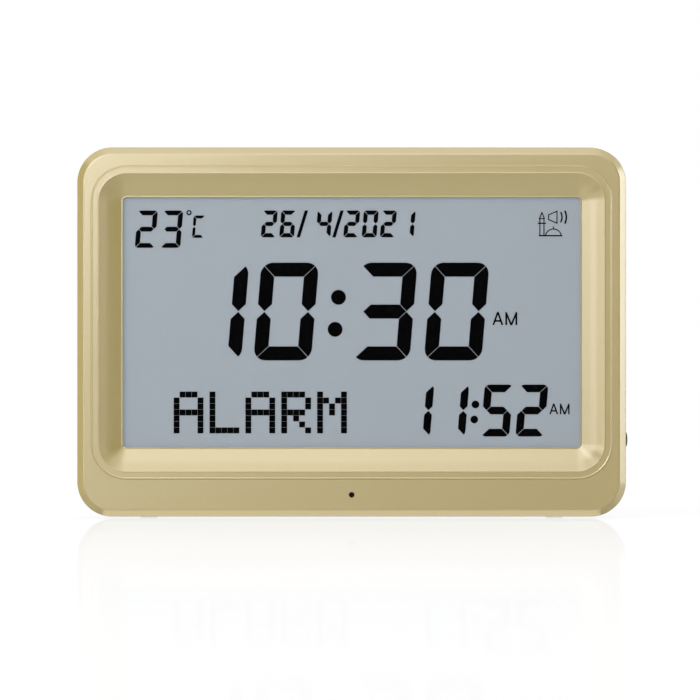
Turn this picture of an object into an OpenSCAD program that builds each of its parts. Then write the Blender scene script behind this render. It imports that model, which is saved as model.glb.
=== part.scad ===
// Azan clock: a desk and wall clock with a large liquid crystal display.
// Millimetres, +Z up, front faces -Y, origin on the table under the middle of the case.

/* [Case] */
// Width of the case across the front
case_w = 230; // [228:0.5:236]
// Height of the case without its foot pads
case_h = 155; // [154:0.5:160]
// Depth from the raised rim to the back
case_depth = 34; // [34:0.5:38]
// Corner radius seen from the front
corner_r = 15; // [14:0.5:17]
// Bevel around the front edge
edge_bevel = 2.8; // [1.5:0.1:3]
// Widening of the side walls from front to parting line
side_draft = 0.4; // [0.1:0.1:0.6]
// Wall thickness of the front frame
wall = 2.4; // [2:0.1:2.6]
// Wall thickness of the rear cover
cover_wall = 2.2; // [2:0.1:2.4]
// Depth of the rear cover behind the parting line
cover_depth = 12; // [12:0.5:14]
// Chamfer around the rear edge
cover_chamfer = 4; // [2:0.5:4.5]
// Height of the foot pads under the case
foot_h = 0.5; // [0.4:0.1:1]
// Diameter of a foot pad
foot_d = 7; // [5:0.5:7.5]

/* [Bezel] */
// Width of the display window
window_w = 191.4; // [190:0.2:192]
// Height of the display window
window_h = 104.7; // [103:0.1:105.5]
// Height of the window's centre above the table
window_z = 82; // [81:0.5:83]
// Corner radius of the window
window_r = 1.8; // [1:0.1:3]
// Width of the sloping surround, seen from the front
slope_w = 10.2; // [9:0.1:10.6]
// Depth of the sloping surround
slope_depth = 5.5; // [4.5:0.1:6]
// Width of the raised rim around the slope
rim_w = 3.2; // [2:0.1:3.6]
// Height of the raised rim above the face
rim_h = 0.5; // [0.3:0.1:0.8]
// Height of the straight edge around the window
window_edge = 0.4; // [0.4:0.1:1.2]

/* [Characters] */
// Height of the main time figures
time_h = 40.9; // [36:0.1:42]
// Width of a main time figure
time_w = 24.1; // [20:0.1:24.4]
// Stroke of the main time figures
time_stroke = 5.85; // [4:0.05:6]
// Lean of the figures, sideways per unit of height
lean = 0.083; // [0:0.001:0.1]
// Gap between neighbouring segments
segment_gap = 0.22; // [0.2:0.02:0.4]
// Spacing of the dots of the word row
dot_pitch = 2.5; // [2:0.05:2.6]
// Side of one dot of the word row
dot_size = 2.42; // [1.8:0.02:2.44]

/* [Side button and sensor] */
// Height of the side button above the table
side_button_z = 33; // [30:0.5:36]
// Diameter of the side button
side_button_d = 6.4; // [5:0.1:7]
// Height of the side button's dome outside the wall
side_button_out = 0.8; // [0.6:0.1:1]
// Height of the sensor hole above the table
sensor_z = 10; // [9:0.5:11]
// Diameter of the sensor hole
sensor_d = 2.3; // [1.8:0.1:3]

/* [Rear keys] */
// Spacing of the five rear keys
key_pitch = 18; // [15:0.5:18]
// Width of a key cap
key_w = 10; // [8:0.5:11]
// Height of a key cap
key_h = 6; // [5:0.5:7]
// Height of the row of keys above the table
key_z = 120; // [118:0.5:122]

/* [Stand] */
// Width of the folding leg
leg_w = 50; // [44:0.5:50]
// Height of the hinge above the table
leg_hinge_z = 90; // [86:0.5:90]
// Height of the folded leg's lower end above the table
leg_end_z = 7; // [7:0.5:16]
// Thickness of the leg
leg_t = 3.8; // [3.4:0.1:3.8]
// Diameter of the hinge pin
pin_d = 2.5; // [2:0.1:2.6]

/* [Loudspeaker] */
// Diameter of the loudspeaker
speaker_d = 57; // [50:0.5:57]
// Distance of the loudspeaker left of the middle, seen from the front
speaker_x = -66; // [-67:0.5:-65]
// Height of the loudspeaker above the table
speaker_z = 54; // [52:0.5:56]
// Diameter of a grille hole
grille_d = 3.2; // [2:0.1:3.6]

/* [Batteries] */
// Diameter of a round cell
cell_d = 14.2; // [13.8:0.1:14.4]
// Length of a round cell with its tip
cell_l = 50.5; // [49.5:0.5:51]
// Height of the battery bay's middle above the table
bay_z = 45; // [44:0.5:46]
// Distance of the battery bay's middle from the middle of the case
bay_x = 66; // [65:0.5:67]

/* [Wall hanging] */
// Distance between the two keyholes
hanger_spacing = 150; // [140:1:154]
// Height of the keyhole heads above the table
hanger_z = 122; // [120:0.5:126]
// Diameter of the keyhole's head
hanger_head_d = 9; // [8:0.1:10]
// Width of the keyhole's slot
hanger_slot_w = 4.5; // [4.3:0.1:5]
// Height of the slot above the head's middle
hanger_rise = 10; // [8:0.5:12]

/* [Hidden] */
$fn = 48;

// A cut runs this far past the faces it opens
past = 1;
// A solid that joins another reaches this far into it
sink = 0.5;

// Colours
gold = "#d2c08e";
near_black = "#222326";
lcd_grey = "#a3a9b0";
lcd_black = "#0c0d10";
board_green = "#1f5a3a";
steel = "#b9bcc0";
tin = "#d4d6d8";
smoke = "#15161a";
nylon = "#e9e7e0";

// Depth levels, from the front to the back
front_y = -case_depth / 2;
rear_y = case_depth / 2;
face_y = front_y + rim_h;
bevel_y = face_y + edge_bevel;
slope_y = front_y + slope_depth;
flange_y = slope_y + window_edge;
inner_face_y = face_y + wall;
parting_y = rear_y - cover_depth;
window_t = 0.8;
window_gap = 0.2;
window_back_y = flange_y + window_t;
segment_t = 0.15;
polarizer_t = 0.2;
glass_t = 1.1;
polarizer_y = window_back_y + window_gap;
segment_y = polarizer_y - segment_t;
front_glass_y = polarizer_y + polarizer_t;
rear_glass_y = front_glass_y + glass_t;
rear_film_y = rear_glass_y + glass_t;
guide_y = rear_film_y + 0.15;
guide_t = 3;
reflector_y = guide_y + guide_t;
holder_plate_y = reflector_y + 0.2;
holder_plate_t = 1.2;
holder_back_y = holder_plate_y + holder_plate_t;
board_gap = 4.15;
board_y = holder_back_y + board_gap;
board_t = 1.6;
board_back_y = board_y + board_t;
cover_inner_y = rear_y - cover_wall;

// Case outline
case_mid_z = foot_h + case_h / 2;
front_w = case_w - 2 * side_draft;
front_h = case_h - 2 * side_draft;
front_r = corner_r - side_draft;
cavity_w = front_w - 2 * wall;
cavity_h = front_h - 2 * wall;
cavity_r = front_r - wall;
cover_gap = 0.3;
cover_w = case_w - 2 * cover_gap;
cover_h = case_h - 2 * cover_gap;
cover_r = corner_r - cover_gap;

// Case screws: four near the corners and two half way up the sides
corner_screw_x = case_w / 2 - 10.4;
corner_screw_dz = case_h / 2 - 10.4;
side_screw_x = case_w / 2 - 8.4;
side_screw_z = window_z;
case_screw_places = [
    for (sx = [-1, 1], sz = [-1, 1]) [sx * corner_screw_x, case_mid_z + sz * corner_screw_dz],
    for (sx = [-1, 1]) [sx * side_screw_x, side_screw_z]
];
boss_r = 3.6;
boss_end_y = parting_y - 2.2;
column_r = 4.6;
case_screw_r = 1.4;
case_screw_seat_y = rear_y - 8;
case_screw_tip_y = boss_end_y - 10;
screw_well_r = 3.4;
pilot_gap = 0.02;

// Display stack
lens_w = window_w + 4;
lens_h = window_h + 4;
glass_ledge = 3;
holder_play = 0.2;
holder_wall = 1.8;
holder_in_w = lens_w + 2 * holder_play;
holder_in_z = [window_z - lens_h / 2 - holder_play, window_z + lens_h / 2 + glass_ledge + holder_play];
holder_out_z = [holder_in_z[0] - holder_wall, holder_in_z[1] + holder_wall];
holder_out_w = holder_in_w + 2 * holder_wall;
guide_w = window_w + 2;
guide_h = window_h + 2;
led_z = window_z - guide_h / 2;
ribbon_w = 120;
ribbon_t = 0.15;
ribbon_z = window_z + lens_h / 2 + 1.7;
board_w = 180;
board_z = [97, 143];
ear_x = holder_out_w / 2 + 2.6;
ear_r = 2.6;
ear_z = [window_z - 36, window_z + 36];
ear_t = 2;
post_r = 2.2;
holder_screw_r = 0.9;
board_post_x = 84;
board_post_z = [101, 138.5];
board_post_r = 2.6;
board_screw_r = 0.9;
board_head_r = 2.1;
board_head_h = 1.3;

// Sensor and side button
sensor_post_x = 6;
sensor_board_y = inner_face_y + 2.4;
sensor_board_t = 1;
sensor_post_r = 1.6;
small_screw_r = 0.8;
small_head_r = 1.5;
small_head_h = 1;
small_screw_l = 3.2;
wall_in_x = cavity_w / 2;
side_y = -5;
side_wall_x = front_w / 2 + side_draft * (side_y - bevel_y) / (parting_y - bevel_y);
side_button_r = side_button_d / 2;
side_board_x = [104, 105.6];
side_board_z = [side_button_z - 7.1, side_button_z + 7.1];
side_block_h = 3.5;
switch_body = 6;
switch_t = 3.5;
switch_bore_r = 1.8;
plunger_r = 1.7;

// Rear keys
key_count = 5;
key_panel_w = (key_count - 1) * key_pitch + key_w + 10;
key_panel_h = key_h + 10;
key_panel_y = rear_y - 1.6;
key_wall_t = 2.2;
key_gap = 0.3;
key_lip = 1.2;
key_lip_t = 0.9;
key_top_y = rear_y - 0.2;
key_corner_r = 1.8;

// Stand
leg_gap = 1;
leg_end_r = 6;
stand_w = leg_w + 2 * leg_gap;
stand_floor_y = rear_y - 4.4;
stand_floor_t = 1.6;
stand_z = [leg_end_z - leg_gap, leg_hinge_z + leg_t / 2 + leg_gap];
ear_wall = 3.5;
hinge_y = rear_y - 0.2 - leg_t / 2;
scoop_r = 6;
scoop_z = leg_end_z + 11;
pin_r = pin_d / 2;
pin_half_l = stand_w / 2 + ear_wall;

// Loudspeaker
speaker_r = speaker_d / 2;
gasket_t = 1;
basket_t = 1;
basket_y = cover_inner_y - gasket_t - basket_t;
magnet_r = 13;
magnet_y = [basket_y - 11.6, basket_y - 6];
clamp_r = speaker_r + 2.5;
clamp_boss_r = 2.2;
clamp_angles = [90, 210, 330];
grille_step = 6;
grille_rings = 4;

// Battery bay and door
cell_count = 3;
cell_r = cell_d / 2;
cell_pitch = cell_d + 1;
cell_y = cover_inner_y - cell_r - 0.2;
bay_in_w = cell_l + 9.5;
bay_in_h = (cell_count - 1) * cell_pitch + cell_d + 1.4;
bay_x_in = [bay_x - bay_in_w / 2, bay_x + bay_in_w / 2];
bay_z_in = [bay_z - bay_in_h / 2, bay_z + bay_in_h / 2];
bay_wall = 1.6;
bay_floor_t = 1.4;
bay_floor_y = cell_y - cell_r - 0.1;
contact_t = 0.4;
door_inner_y = rear_y - 2;
door_step_y = rear_y - 1;
door_play = 0.2;
door_lip = 1.2;
door_h = bay_in_h + 6;
door_x0 = bay_x_in[0] - 2.8;
door_z = [bay_z - door_h / 2, bay_z + door_h / 2];
door_floor_t = 2.4;

// Keyholes and inlet
hanger_pocket_d = 5;
hanger_pocket_w = hanger_head_d + 3;
jack_x = -103;
jack_z = 24;
jack_size = 9;
jack_y = cover_inner_y - 12;
jack_collar_r = 4;
jack_bore_r = 2.8;
jack_pin_r = 0.95;
jack_floor = 2;

// Foot pads
foot_x = 85;
foot_front_y = -8;
foot_rear_y = parting_y + 4;
foot_depth = 1.1;
foot_play = 0.05;

// ---------------------------------------------------------------- helpers

// A flat plate: the outline's x and y become x and z, and it runs from depth y0 back to y1
module plate(y0, y1) {
    translate([0, y1, 0]) rotate([90, 0, 0]) linear_extrude(y1 - y0) children();
}

// A box between two corners given as ranges
module block(x, y, z) {
    translate([x[0], y[0], z[0]]) cube([x[1] - x[0], y[1] - y[0], z[1] - z[0]]);
}

module rod_x(r, x0, x1) {
    translate([x0, 0, 0]) rotate([0, 90, 0]) cylinder(r = r, h = x1 - x0);
}

module rod_y(r, y0, y1) {
    translate([0, y0, 0]) rotate([-90, 0, 0]) cylinder(r = r, h = y1 - y0);
}

module rounded_rect(w, h, r) {
    square([w - 2 * r, h], center = true);
    square([w, h - 2 * r], center = true);
    for (sx = [-1, 1], sz = [-1, 1]) {
        translate([sx * (w / 2 - r), sz * (h / 2 - r)]) circle(r);
    }
}

// A rounded plate whose outline grows by one even amount from depth y0 to y1
module rounded_taper(y0, y1, w, h, r, grow) {
    section = function (half) [[-half, y0], [half, y0], [half + grow, y1], [-half - grow, y1]];
    translate([0, 0, r - h / 2]) linear_extrude(h - 2 * r) polygon(section(w / 2));
    translate([r - w / 2, 0, 0]) rotate([90, 0, 90]) linear_extrude(w - 2 * r)
        polygon([for (p = section(h / 2)) [p[1], p[0]]]);
    for (sx = [-1, 1], sz = [-1, 1]) {
        translate([sx * (w / 2 - r), y0, sz * (h / 2 - r)])
            rotate([-90, 0, 0]) cylinder(r1 = r, r2 = r + grow, h = y1 - y0);
    }
}

// A screw along Y, its head's seat at y = 0 and its tip at y = -length
module screw_y(head_r, head_h, shank_r, length) {
    slot_w = head_r * 0.32;
    difference() {
        rod_y(head_r, 0, head_h);
        for (turn = [0, 90]) {
            translate([0, head_h, 0]) rotate([0, turn, 0])
                cube([head_r * 1.3, head_h, slot_w], center = true);
        }
    }
    rod_y(shank_r, -length, 0);
}

// A flat bar from p to q in an outline
module bar(p, q, w) {
    run = q - p;
    side = [-run[1], run[0]] * w / 2 / norm(run);
    polygon([p + side, q + side, q - side, p - side]);
}

// ---------------------------------------------------------------- seven-segment figures

function arc(cx, cy, r, from, to, steps = 4) =
    [for (i = [0 : steps]) [cx + r * cos(from + (to - from) * i / steps),
                            cy + r * sin(from + (to - from) * i / steps)]];

// Outline of segment s in an upright box w by h, with stroke t, outer radius r and gap g
function segment(s, w, h, t, r, g) =
    let (k = g * cos(45), cut = asin(g / 2 / r))
    s == "a" ? concat([[t + k, h - t], [w - t - k, h - t]],
                      arc(w - r, h - r, r, 45 + cut, 90), arc(r, h - r, r, 90, 135 - cut)) :
    s == "b" ? concat([[w - t, h - t - k], [w - t, (h + t) / 2 + k], [w - t / 2, h / 2 + k],
                       [w, (h + t) / 2 + k]], arc(w - r, h - r, r, 0, 45 - cut)) :
    s == "c" ? [for (p = segment("b", w, h, t, r, g)) [p[0], h - p[1]]] :
    s == "d" ? [for (p = segment("a", w, h, t, r, g)) [p[0], h - p[1]]] :
    s == "e" ? [for (p = segment("c", w, h, t, r, g)) [w - p[0], p[1]]] :
    s == "f" ? [for (p = segment("b", w, h, t, r, g)) [w - p[0], p[1]]] :
    [[t / 2 + k, h / 2], [t + k, (h + t) / 2], [w - t - k, (h + t) / 2],
     [w - t / 2 - k, h / 2], [w - t - k, (h - t) / 2], [t + k, (h - t) / 2]];

function lit(c) =
    c == "0" ? "abcdef" : c == "1" ? "bc" : c == "2" ? "abged" : c == "3" ? "abgcd" :
    c == "4" ? "fgbc" : c == "5" ? "afgcd" : c == "6" ? "afgecd" : c == "C" ? "afed" : "g";

module figure(c, w, h, t, r, g) {
    for (s = lit(c)) {
        polygon([for (p = segment(s, w, h, t, r, g)) [p[0] + lean * p[1], p[1]]]);
    }
}

// Places an outline on the display: x and z are measured from the window's centre
module on_display() {
    translate([0, 0, window_z]) plate(segment_y, polarizer_y) children();
}

// ---------------------------------------------------------------- front frame

module front_outer() {
    translate([0, 0, case_mid_z]) {
        rounded_taper(face_y, bevel_y, front_w - 2 * edge_bevel, front_h - 2 * edge_bevel,
                      front_r - edge_bevel, edge_bevel);
        rounded_taper(bevel_y, parting_y, front_w, front_h, front_r, side_draft);
    }
    rim_edge = 0.3;
    rim_out_w = window_w + 2 * (slope_w + rim_w);
    rim_out_h = window_h + 2 * (slope_w + rim_w);
    rim_r = window_r + slope_w + rim_w;
    translate([0, 0, window_z]) {
        rounded_taper(front_y, front_y + rim_edge, rim_out_w - 2 * rim_edge,
                      rim_out_h - 2 * rim_edge, rim_r - rim_edge, rim_edge);
        plate(front_y + rim_edge, face_y + sink) rounded_rect(rim_out_w, rim_out_h, rim_r);
    }
}

// The hollow shell behind the slope, as thick as the wall
module slope_shell() {
    back = 2.2;
    translate([0, 0, window_z]) {
        rounded_taper(face_y + 0.6, slope_y, window_w + 2 * (slope_w + back) - 1,
                      window_h + 2 * (slope_w + back) - 1,
                      window_r + slope_w + back - 0.5, 0.5 - slope_w);
        plate(slope_y, flange_y) rounded_rect(window_w + 2 * back, window_h + 2 * back,
                                              window_r + back);
    }
}

module slope_opening() {
    over = 0.5;
    extra = slope_w * over / slope_depth;
    translate([0, 0, window_z]) {
        rounded_taper(front_y - over, slope_y, window_w + 2 * (slope_w + extra),
                      window_h + 2 * (slope_w + extra), window_r + slope_w + extra,
                      -slope_w - extra);
        plate(slope_y - 0.1, flange_y + past) rounded_rect(window_w, window_h, window_r);
    }
}

// Pocket in the underside that a foot pad sits in
module foot_pocket() {
    cylinder(r = foot_d / 2 + foot_play, h = past + foot_h + foot_depth);
}

module holder_post_places() {
    for (sx = [-1, 1], z = ear_z) translate([sx * ear_x, 0, z]) children();
}

module front_frame() color(gold) difference() {
    union() {
        difference() {
            front_outer();
            translate([0, 0, case_mid_z]) plate(inner_face_y, parting_y + past)
                rounded_rect(cavity_w, cavity_h, cavity_r);
        }
        slope_shell();
        for (p = case_screw_places) {
            translate([p[0], 0, p[1]]) rod_y(boss_r, inner_face_y - 0.2, boss_end_y);
        }
        holder_post_places() rod_y(post_r, inner_face_y - 0.2, holder_plate_y);
        for (sx = [-1, 1]) {
            translate([sx * sensor_post_x, 0, sensor_z])
                rod_y(sensor_post_r, inner_face_y - 0.2, sensor_board_y);
        }
        for (z = [side_board_z[0], side_board_z[1] - side_block_h]) {
            block([side_board_x[0] - 2.5, side_board_x[0]], [inner_face_y - 0.2, 0],
                  [z, z + side_block_h]);
        }
    }
    slope_opening();
    for (p = case_screw_places) {
        translate([p[0], 0, p[1]])
            rod_y(case_screw_r + pilot_gap, case_screw_tip_y - past, boss_end_y + past);
    }
    holder_post_places() rod_y(holder_screw_r + pilot_gap, holder_plate_y - 6.5, holder_plate_y + past);
    for (sx = [-1, 1]) {
        translate([sx * sensor_post_x, 0, sensor_z])
            rod_y(small_screw_r + pilot_gap, inner_face_y - past, sensor_board_y + past);
        translate([sx * foot_x, foot_front_y, -past]) foot_pocket();
    }
    translate([0, 0, sensor_z]) rod_y(sensor_d / 2, face_y - past, inner_face_y + past);
    translate([0, side_y, side_button_z]) rod_x(side_button_r + 0.15, wall_in_x - past, case_w / 2 + past);
    for (z = [side_board_z[0], side_board_z[1] - side_block_h]) {
        translate([0, side_y, z + side_block_h / 2])
            rod_x(small_screw_r + pilot_gap, side_board_x[0] - 2 * past, side_board_x[0] + past);
    }
}

// ---------------------------------------------------------------- display

module display_window() color("#dfe6ea", 0.35) translate([0, 0, window_z])
    plate(flange_y, window_back_y) rounded_rect(lens_w, lens_h, 1.5);

module lcd_front_polarizer() color(lcd_grey) translate([0, 0, window_z])
    plate(polarizer_y, front_glass_y) square([window_w + 2, window_h + 2], center = true);

module lcd_front_glass() color("#c9d6d4", 0.5)
    block([-lens_w / 2, lens_w / 2], [front_glass_y, rear_glass_y],
          [window_z - lens_h / 2, window_z + lens_h / 2 + glass_ledge]);

module lcd_rear_glass() color("#c9d6d4", 0.5)
    block([-lens_w / 2, lens_w / 2], [rear_glass_y, rear_film_y],
          [window_z - lens_h / 2, window_z + lens_h / 2]);

module lcd_rear_polarizer() color(lcd_grey) translate([0, 0, window_z])
    plate(rear_film_y, guide_y) square([guide_w, guide_h], center = true);

// Main time: two figures, a colon and two figures
module time_segments() color(lcd_black) on_display() {
    base = -15.9;
    figures = [["1", -70.3], ["0", -41.1], ["3", 0.1], ["0", 30.2]];
    for (f = figures) {
        translate([f[1], base]) figure(f[0], time_w, time_h, time_stroke, 5, segment_gap);
    }
    for (p = [[-5.5, 10.5], [-6.9, -2.9]]) translate(p) circle(3.1);
}

module date_segments() color(lcd_black) on_display() {
    h = 11.2;
    stroke = 1.75;
    base = 35.6;
    slash_w = 1.4;
    slash_run = 3.4;
    figures = [["2", -38], ["6", -30.3], ["4", -15.1], ["2", -3.5], ["0", 4.2], ["2", 11.8], ["1", 19.7]];
    for (f = figures) {
        translate([f[1], base]) figure(f[0], 6.2, h, stroke, 1.2, 0.2);
    }
    for (x = [-23, -8.1]) {
        polygon([[x, base], [x + slash_w, base], [x + slash_w + slash_run, base + h],
                 [x + slash_run, base + h]]);
    }
}

module temperature_segments() color(lcd_black) on_display() {
    base = 31.2;
    for (f = [["2", -90.7], ["3", -80.1]]) {
        translate([f[1], base]) figure(f[0], 8.4, 15.6, 2, 1.5, 0.2);
    }
    degree_r = 1.1;
    translate([-68, 45.9]) difference() {
        circle(degree_r);
        circle(degree_r / 2);
    }
    translate([-66.8, 35.4]) figure("C", 4.9, 9.3, 1.2, 0.9, 0.2);
}

// Alarm time: two ones, a colon and two figures
module alarm_time_segments() color(lcd_black) on_display() {
    base = -47.7;
    w = 12;
    h = 21.7;
    stroke = 3.2;
    for (f = [["1", 20.8], ["1", 35.4], ["5", 53.9], ["2", 68.5]]) {
        translate([f[1], base]) figure(f[0], w, h, stroke, 2.2, segment_gap);
    }
    for (p = [[51.8, -34.3], [51.3, -40.6]]) translate(p) circle(1.6);
}

// Five by seven dot letters
function glyph(c) =
    c == "A" ? ["01110", "10001", "10001", "11111", "10001", "10001", "10001"] :
    c == "L" ? ["10000", "10000", "10000", "10000", "10000", "10000", "11111"] :
    c == "R" ? ["11110", "10001", "10001", "11110", "10100", "10010", "10001"] :
    ["10001", "11011", "10101", "10101", "10001", "10001", "10001"];

module word_dots() color(lcd_black) on_display() {
    word = "ALARM";
    corner = [-74.4, -28.95];
    for (i = [0 : len(word) - 1], row = [0 : 6], col = [0 : 4]) {
        if (glyph(word[i])[row][col] == "1") {
            translate(corner + [(6 * i + col) * dot_pitch, -row * dot_pitch - dot_size])
                square(dot_size);
        }
    }
}

// A run of flat bars along points, each a little longer so that the corners close
module stroke_line(points, w) {
    for (i = [0 : len(points) - 2]) {
        run = points[i + 1] - points[i];
        reach = run * w / 2 / norm(run);
        bar(points[i] - reach, points[i + 1] + reach, w);
    }
}

// A part of a ring between two angles
module ring_part(centre, r, w, from, to) {
    polygon(concat(arc(centre[0], centre[1], r + w / 2, from, to, 8),
                   arc(centre[0], centre[1], r - w / 2, to, from, 8)));
}

// A horn with two sound arcs beside a slim tower, over a low dome on a ground line
module status_icon() color(lcd_black) on_display() {
    stroke = 0.42;
    ground = 36;
    translate([78.3, ground]) square([9.8, 0.55]);
    tower_x = 79.6;
    tower_w = 1.7;
    gallery_z = ground + 5.2;
    eaves_z = ground + 7.4;
    for (side = [-1, 1]) {
        x = tower_x + side * tower_w / 2;
        translate([x - stroke / 2, ground + 0.3]) square([stroke, eaves_z - ground - 0.3]);
    }
    translate([tower_x - tower_w, gallery_z]) square([2 * tower_w, 0.5]);
    stroke_line([[tower_x - tower_w * 0.6, eaves_z], [tower_x + tower_w * 0.6, eaves_z],
                 [tower_x, eaves_z + 2.6], [tower_x - tower_w * 0.6, eaves_z]], stroke);
    dome_x = 84.4;
    ring_part([dome_x, ground - 0.3], 3.4, stroke, 8, 172);
    translate([dome_x - stroke / 2, ground + 3.1]) square([stroke, 1]);
    horn = [82.4, ground + 8];
    horn_l = 3.5;
    stroke_line([horn + [0, -1], horn + [horn_l, -2.5], horn + [horn_l, 2.5], horn + [0, 1],
                 horn + [0, -1]], stroke);
    sound = horn + [1.4, 0];
    ring_part(sound, 4.2, 0.6, -31, 31);
    ring_part(sound, 6, 0.7, -27, 27);
}

// The two marks beside the times, each an A and an M
module am_marks() color(lcd_black) on_display() {
    for (m = [[58.9, -1.1, 5.4], [82.7, -38.4, 4.4]]) {
        translate([m[0], m[1]]) {
            h = m[2];
            stroke = h * 0.135;
            a_w = h * 0.84;
            m_x = h;
            m_w = h * 0.92;
            bar([stroke / 2, 0], [a_w / 2, h], stroke);
            bar([a_w - stroke / 2, 0], [a_w / 2, h], stroke);
            bar([a_w * 0.18, h * 0.32], [a_w * 0.82, h * 0.32], stroke);
            bar([m_x + stroke / 2, 0], [m_x + stroke / 2, h], stroke);
            bar([m_x + m_w - stroke / 2, 0], [m_x + m_w - stroke / 2, h], stroke);
            bar([m_x + stroke / 2, h - stroke / 2], [m_x + m_w / 2, 0], stroke);
            bar([m_x + m_w - stroke / 2, h - stroke / 2], [m_x + m_w / 2, 0], stroke);
        }
    }
}

// Flat cable: glued to the glass ledge, over the light guide and down on the board
module lcd_ribbon() color("#b87333") {
    x = [-ribbon_w / 2, ribbon_w / 2];
    block(x, [rear_glass_y, rear_glass_y + ribbon_t], [ribbon_z - 1.4, ribbon_z]);
    block(x, [rear_glass_y, board_y], [ribbon_z, ribbon_z + ribbon_t]);
    block(x, [board_y - ribbon_t, board_y], [ribbon_z, ribbon_z + 4]);
}

module light_guide() color("#f2f6f7", 0.6) translate([0, 0, window_z])
    plate(guide_y, reflector_y) square([guide_w, guide_h], center = true);

module reflector_sheet() color("white") translate([0, 0, window_z])
    plate(reflector_y, holder_plate_y) square([guide_w, guide_h], center = true);

module led_strip() color(nylon) {
    led_count = 10;
    led_pitch = 18;
    led_w = 3;
    chip_h = 0.5;
    strip_half = led_count * led_pitch / 2;
    y = [guide_y + 0.2, reflector_y - 0.2];
    block([-strip_half, strip_half], y, [holder_in_z[0], led_z - chip_h]);
    for (i = [0 : led_count - 1]) {
        x = (i - (led_count - 1) / 2) * led_pitch;
        block([x - led_w / 2, x + led_w / 2], y, [led_z - chip_h - 0.05, led_z]);
    }
}

module lcd_holder() color(nylon) difference() {
    union() {
        block([-holder_out_w / 2, holder_out_w / 2], [flange_y + 0.2, holder_back_y], holder_out_z);
        holder_post_places() rod_y(ear_r, holder_plate_y, holder_plate_y + ear_t);
        for (sx = [-1, 1], z = ear_z) {
            block(sx > 0 ? [holder_out_w / 2 - 1, ear_x] : [-ear_x, 1 - holder_out_w / 2],
                  [holder_plate_y, holder_plate_y + ear_t], [z - ear_r, z + ear_r]);
        }
        for (sx = [-1, 1], z = board_post_z) {
            translate([sx * board_post_x, 0, z]) rod_y(board_post_r, holder_plate_y, board_y);
        }
    }
    block([-holder_in_w / 2, holder_in_w / 2], [flange_y, holder_plate_y], holder_in_z);
    block([-ribbon_w / 2 - 1, ribbon_w / 2 + 1], [flange_y, holder_back_y + past],
          [ribbon_z - 0.5, holder_in_z[1]]);
    holder_post_places() rod_y(holder_screw_r + 0.2, holder_plate_y - past, holder_plate_y + ear_t + past);
    for (sx = [-1, 1], z = board_post_z) {
        translate([sx * board_post_x, 0, z])
            rod_y(board_screw_r + pilot_gap, holder_plate_y + 0.4, board_y + past);
    }
}

// ---------------------------------------------------------------- electronics

module main_board() color(board_green) difference() {
    block([-board_w / 2, board_w / 2], [board_y, board_back_y], board_z);
    for (sx = [-1, 1], z = board_post_z) {
        translate([sx * board_post_x, 0, z])
            rod_y(board_screw_r + 0.2, board_y - past, board_back_y + past);
    }
}

// A chip lying on the board: body and two rows of legs
module chip(x, z, w, h, t, legs) {
    leg_w = 0.4;
    leg_out = 0.9;
    pitch = (w - 1) / (legs - 1);
    block([x - w / 2, x + w / 2], [board_back_y + 0.1, board_back_y + t], [z - h / 2, z + h / 2]);
    for (i = [0 : legs - 1], side = [-1, 1]) {
        leg_x = x - w / 2 + 0.5 + i * pitch;
        leg_z = side > 0 ? [z + h / 2, z + h / 2 + leg_out] : [z - h / 2 - leg_out, z - h / 2];
        block([leg_x - leg_w / 2, leg_x + leg_w / 2], [board_back_y, board_back_y + 0.4], leg_z);
    }
}

module controller_chip() color(smoke) chip(-4, 135, 14, 9, 1.8, 12);

module amplifier_chip() color(smoke) chip(-62, 112, 10, 5, 1.8, 8);

module crystal() color(steel) translate([14, board_back_y, 135]) {
    can_r = 1.5;
    can_l = 6;
    flange_t = 0.6;
    rod_y(can_r, 0, can_l);
    rod_y(can_r + 0.3, 0, flange_t);
}

// Each has a crimped groove near its foot
module board_capacitors() color("#20304f") {
    can_r = 3.15;
    can_l = 7;
    groove_r = 0.35;
    groove_up = 1.2;
    for (p = [[-40, 104], [-30, 104], [30, 104], [66, 112]]) {
        translate([p[0], board_back_y, p[1]]) difference() {
            rod_y(can_r, 0, can_l);
            translate([0, groove_up, 0]) rotate([-90, 0, 0]) rotate_extrude()
                translate([can_r, 0]) circle(groove_r, $fn = 16);
        }
    }
}

// Coin cell that keeps the time while the batteries are changed, in its clip
module backup_cell() color(tin) translate([46, board_back_y, 135]) {
    coin_r = 6.25;
    coin_t = 2;
    strap_t = 0.5;
    strap_h = [-3, 3];
    clip_x = coin_r + 0.95;
    clip_t = 0.8;
    rod_y(coin_r, strap_t, strap_t + coin_t);
    block([-clip_x, clip_x], [0, strap_t], strap_h);
    block([-clip_x, clip_t - clip_x], [0, strap_t + coin_t + 0.5], strap_h);
    block([clip_x - clip_t, clip_x], [0, strap_t + coin_t + 0.5], strap_h);
}

// Three plug sockets on the board: loudspeaker, batteries and inlet
socket_places = [[-66, 101], [60, 101], [-84, 112]];
socket_w = 6;
socket_h = 4;
socket_t = 4.5;

module board_sockets() color(nylon) for (p = socket_places) {
    block([p[0] - socket_w / 2, p[0] + socket_w / 2], [board_back_y, board_back_y + socket_t],
          [p[1] - socket_h / 2, p[1] + socket_h / 2]);
}

function key_x(i) = (i - (key_count - 1) / 2) * key_pitch;

module key_switches() color(smoke) for (i = [0 : key_count - 1]) {
    translate([key_x(i), 0, key_z]) difference() {
        block([-switch_body / 2, switch_body / 2], [board_back_y, board_back_y + switch_t],
              [-switch_body / 2, switch_body / 2]);
        rod_y(switch_bore_r, board_back_y + 0.6, board_back_y + switch_t + past);
    }
}

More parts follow.
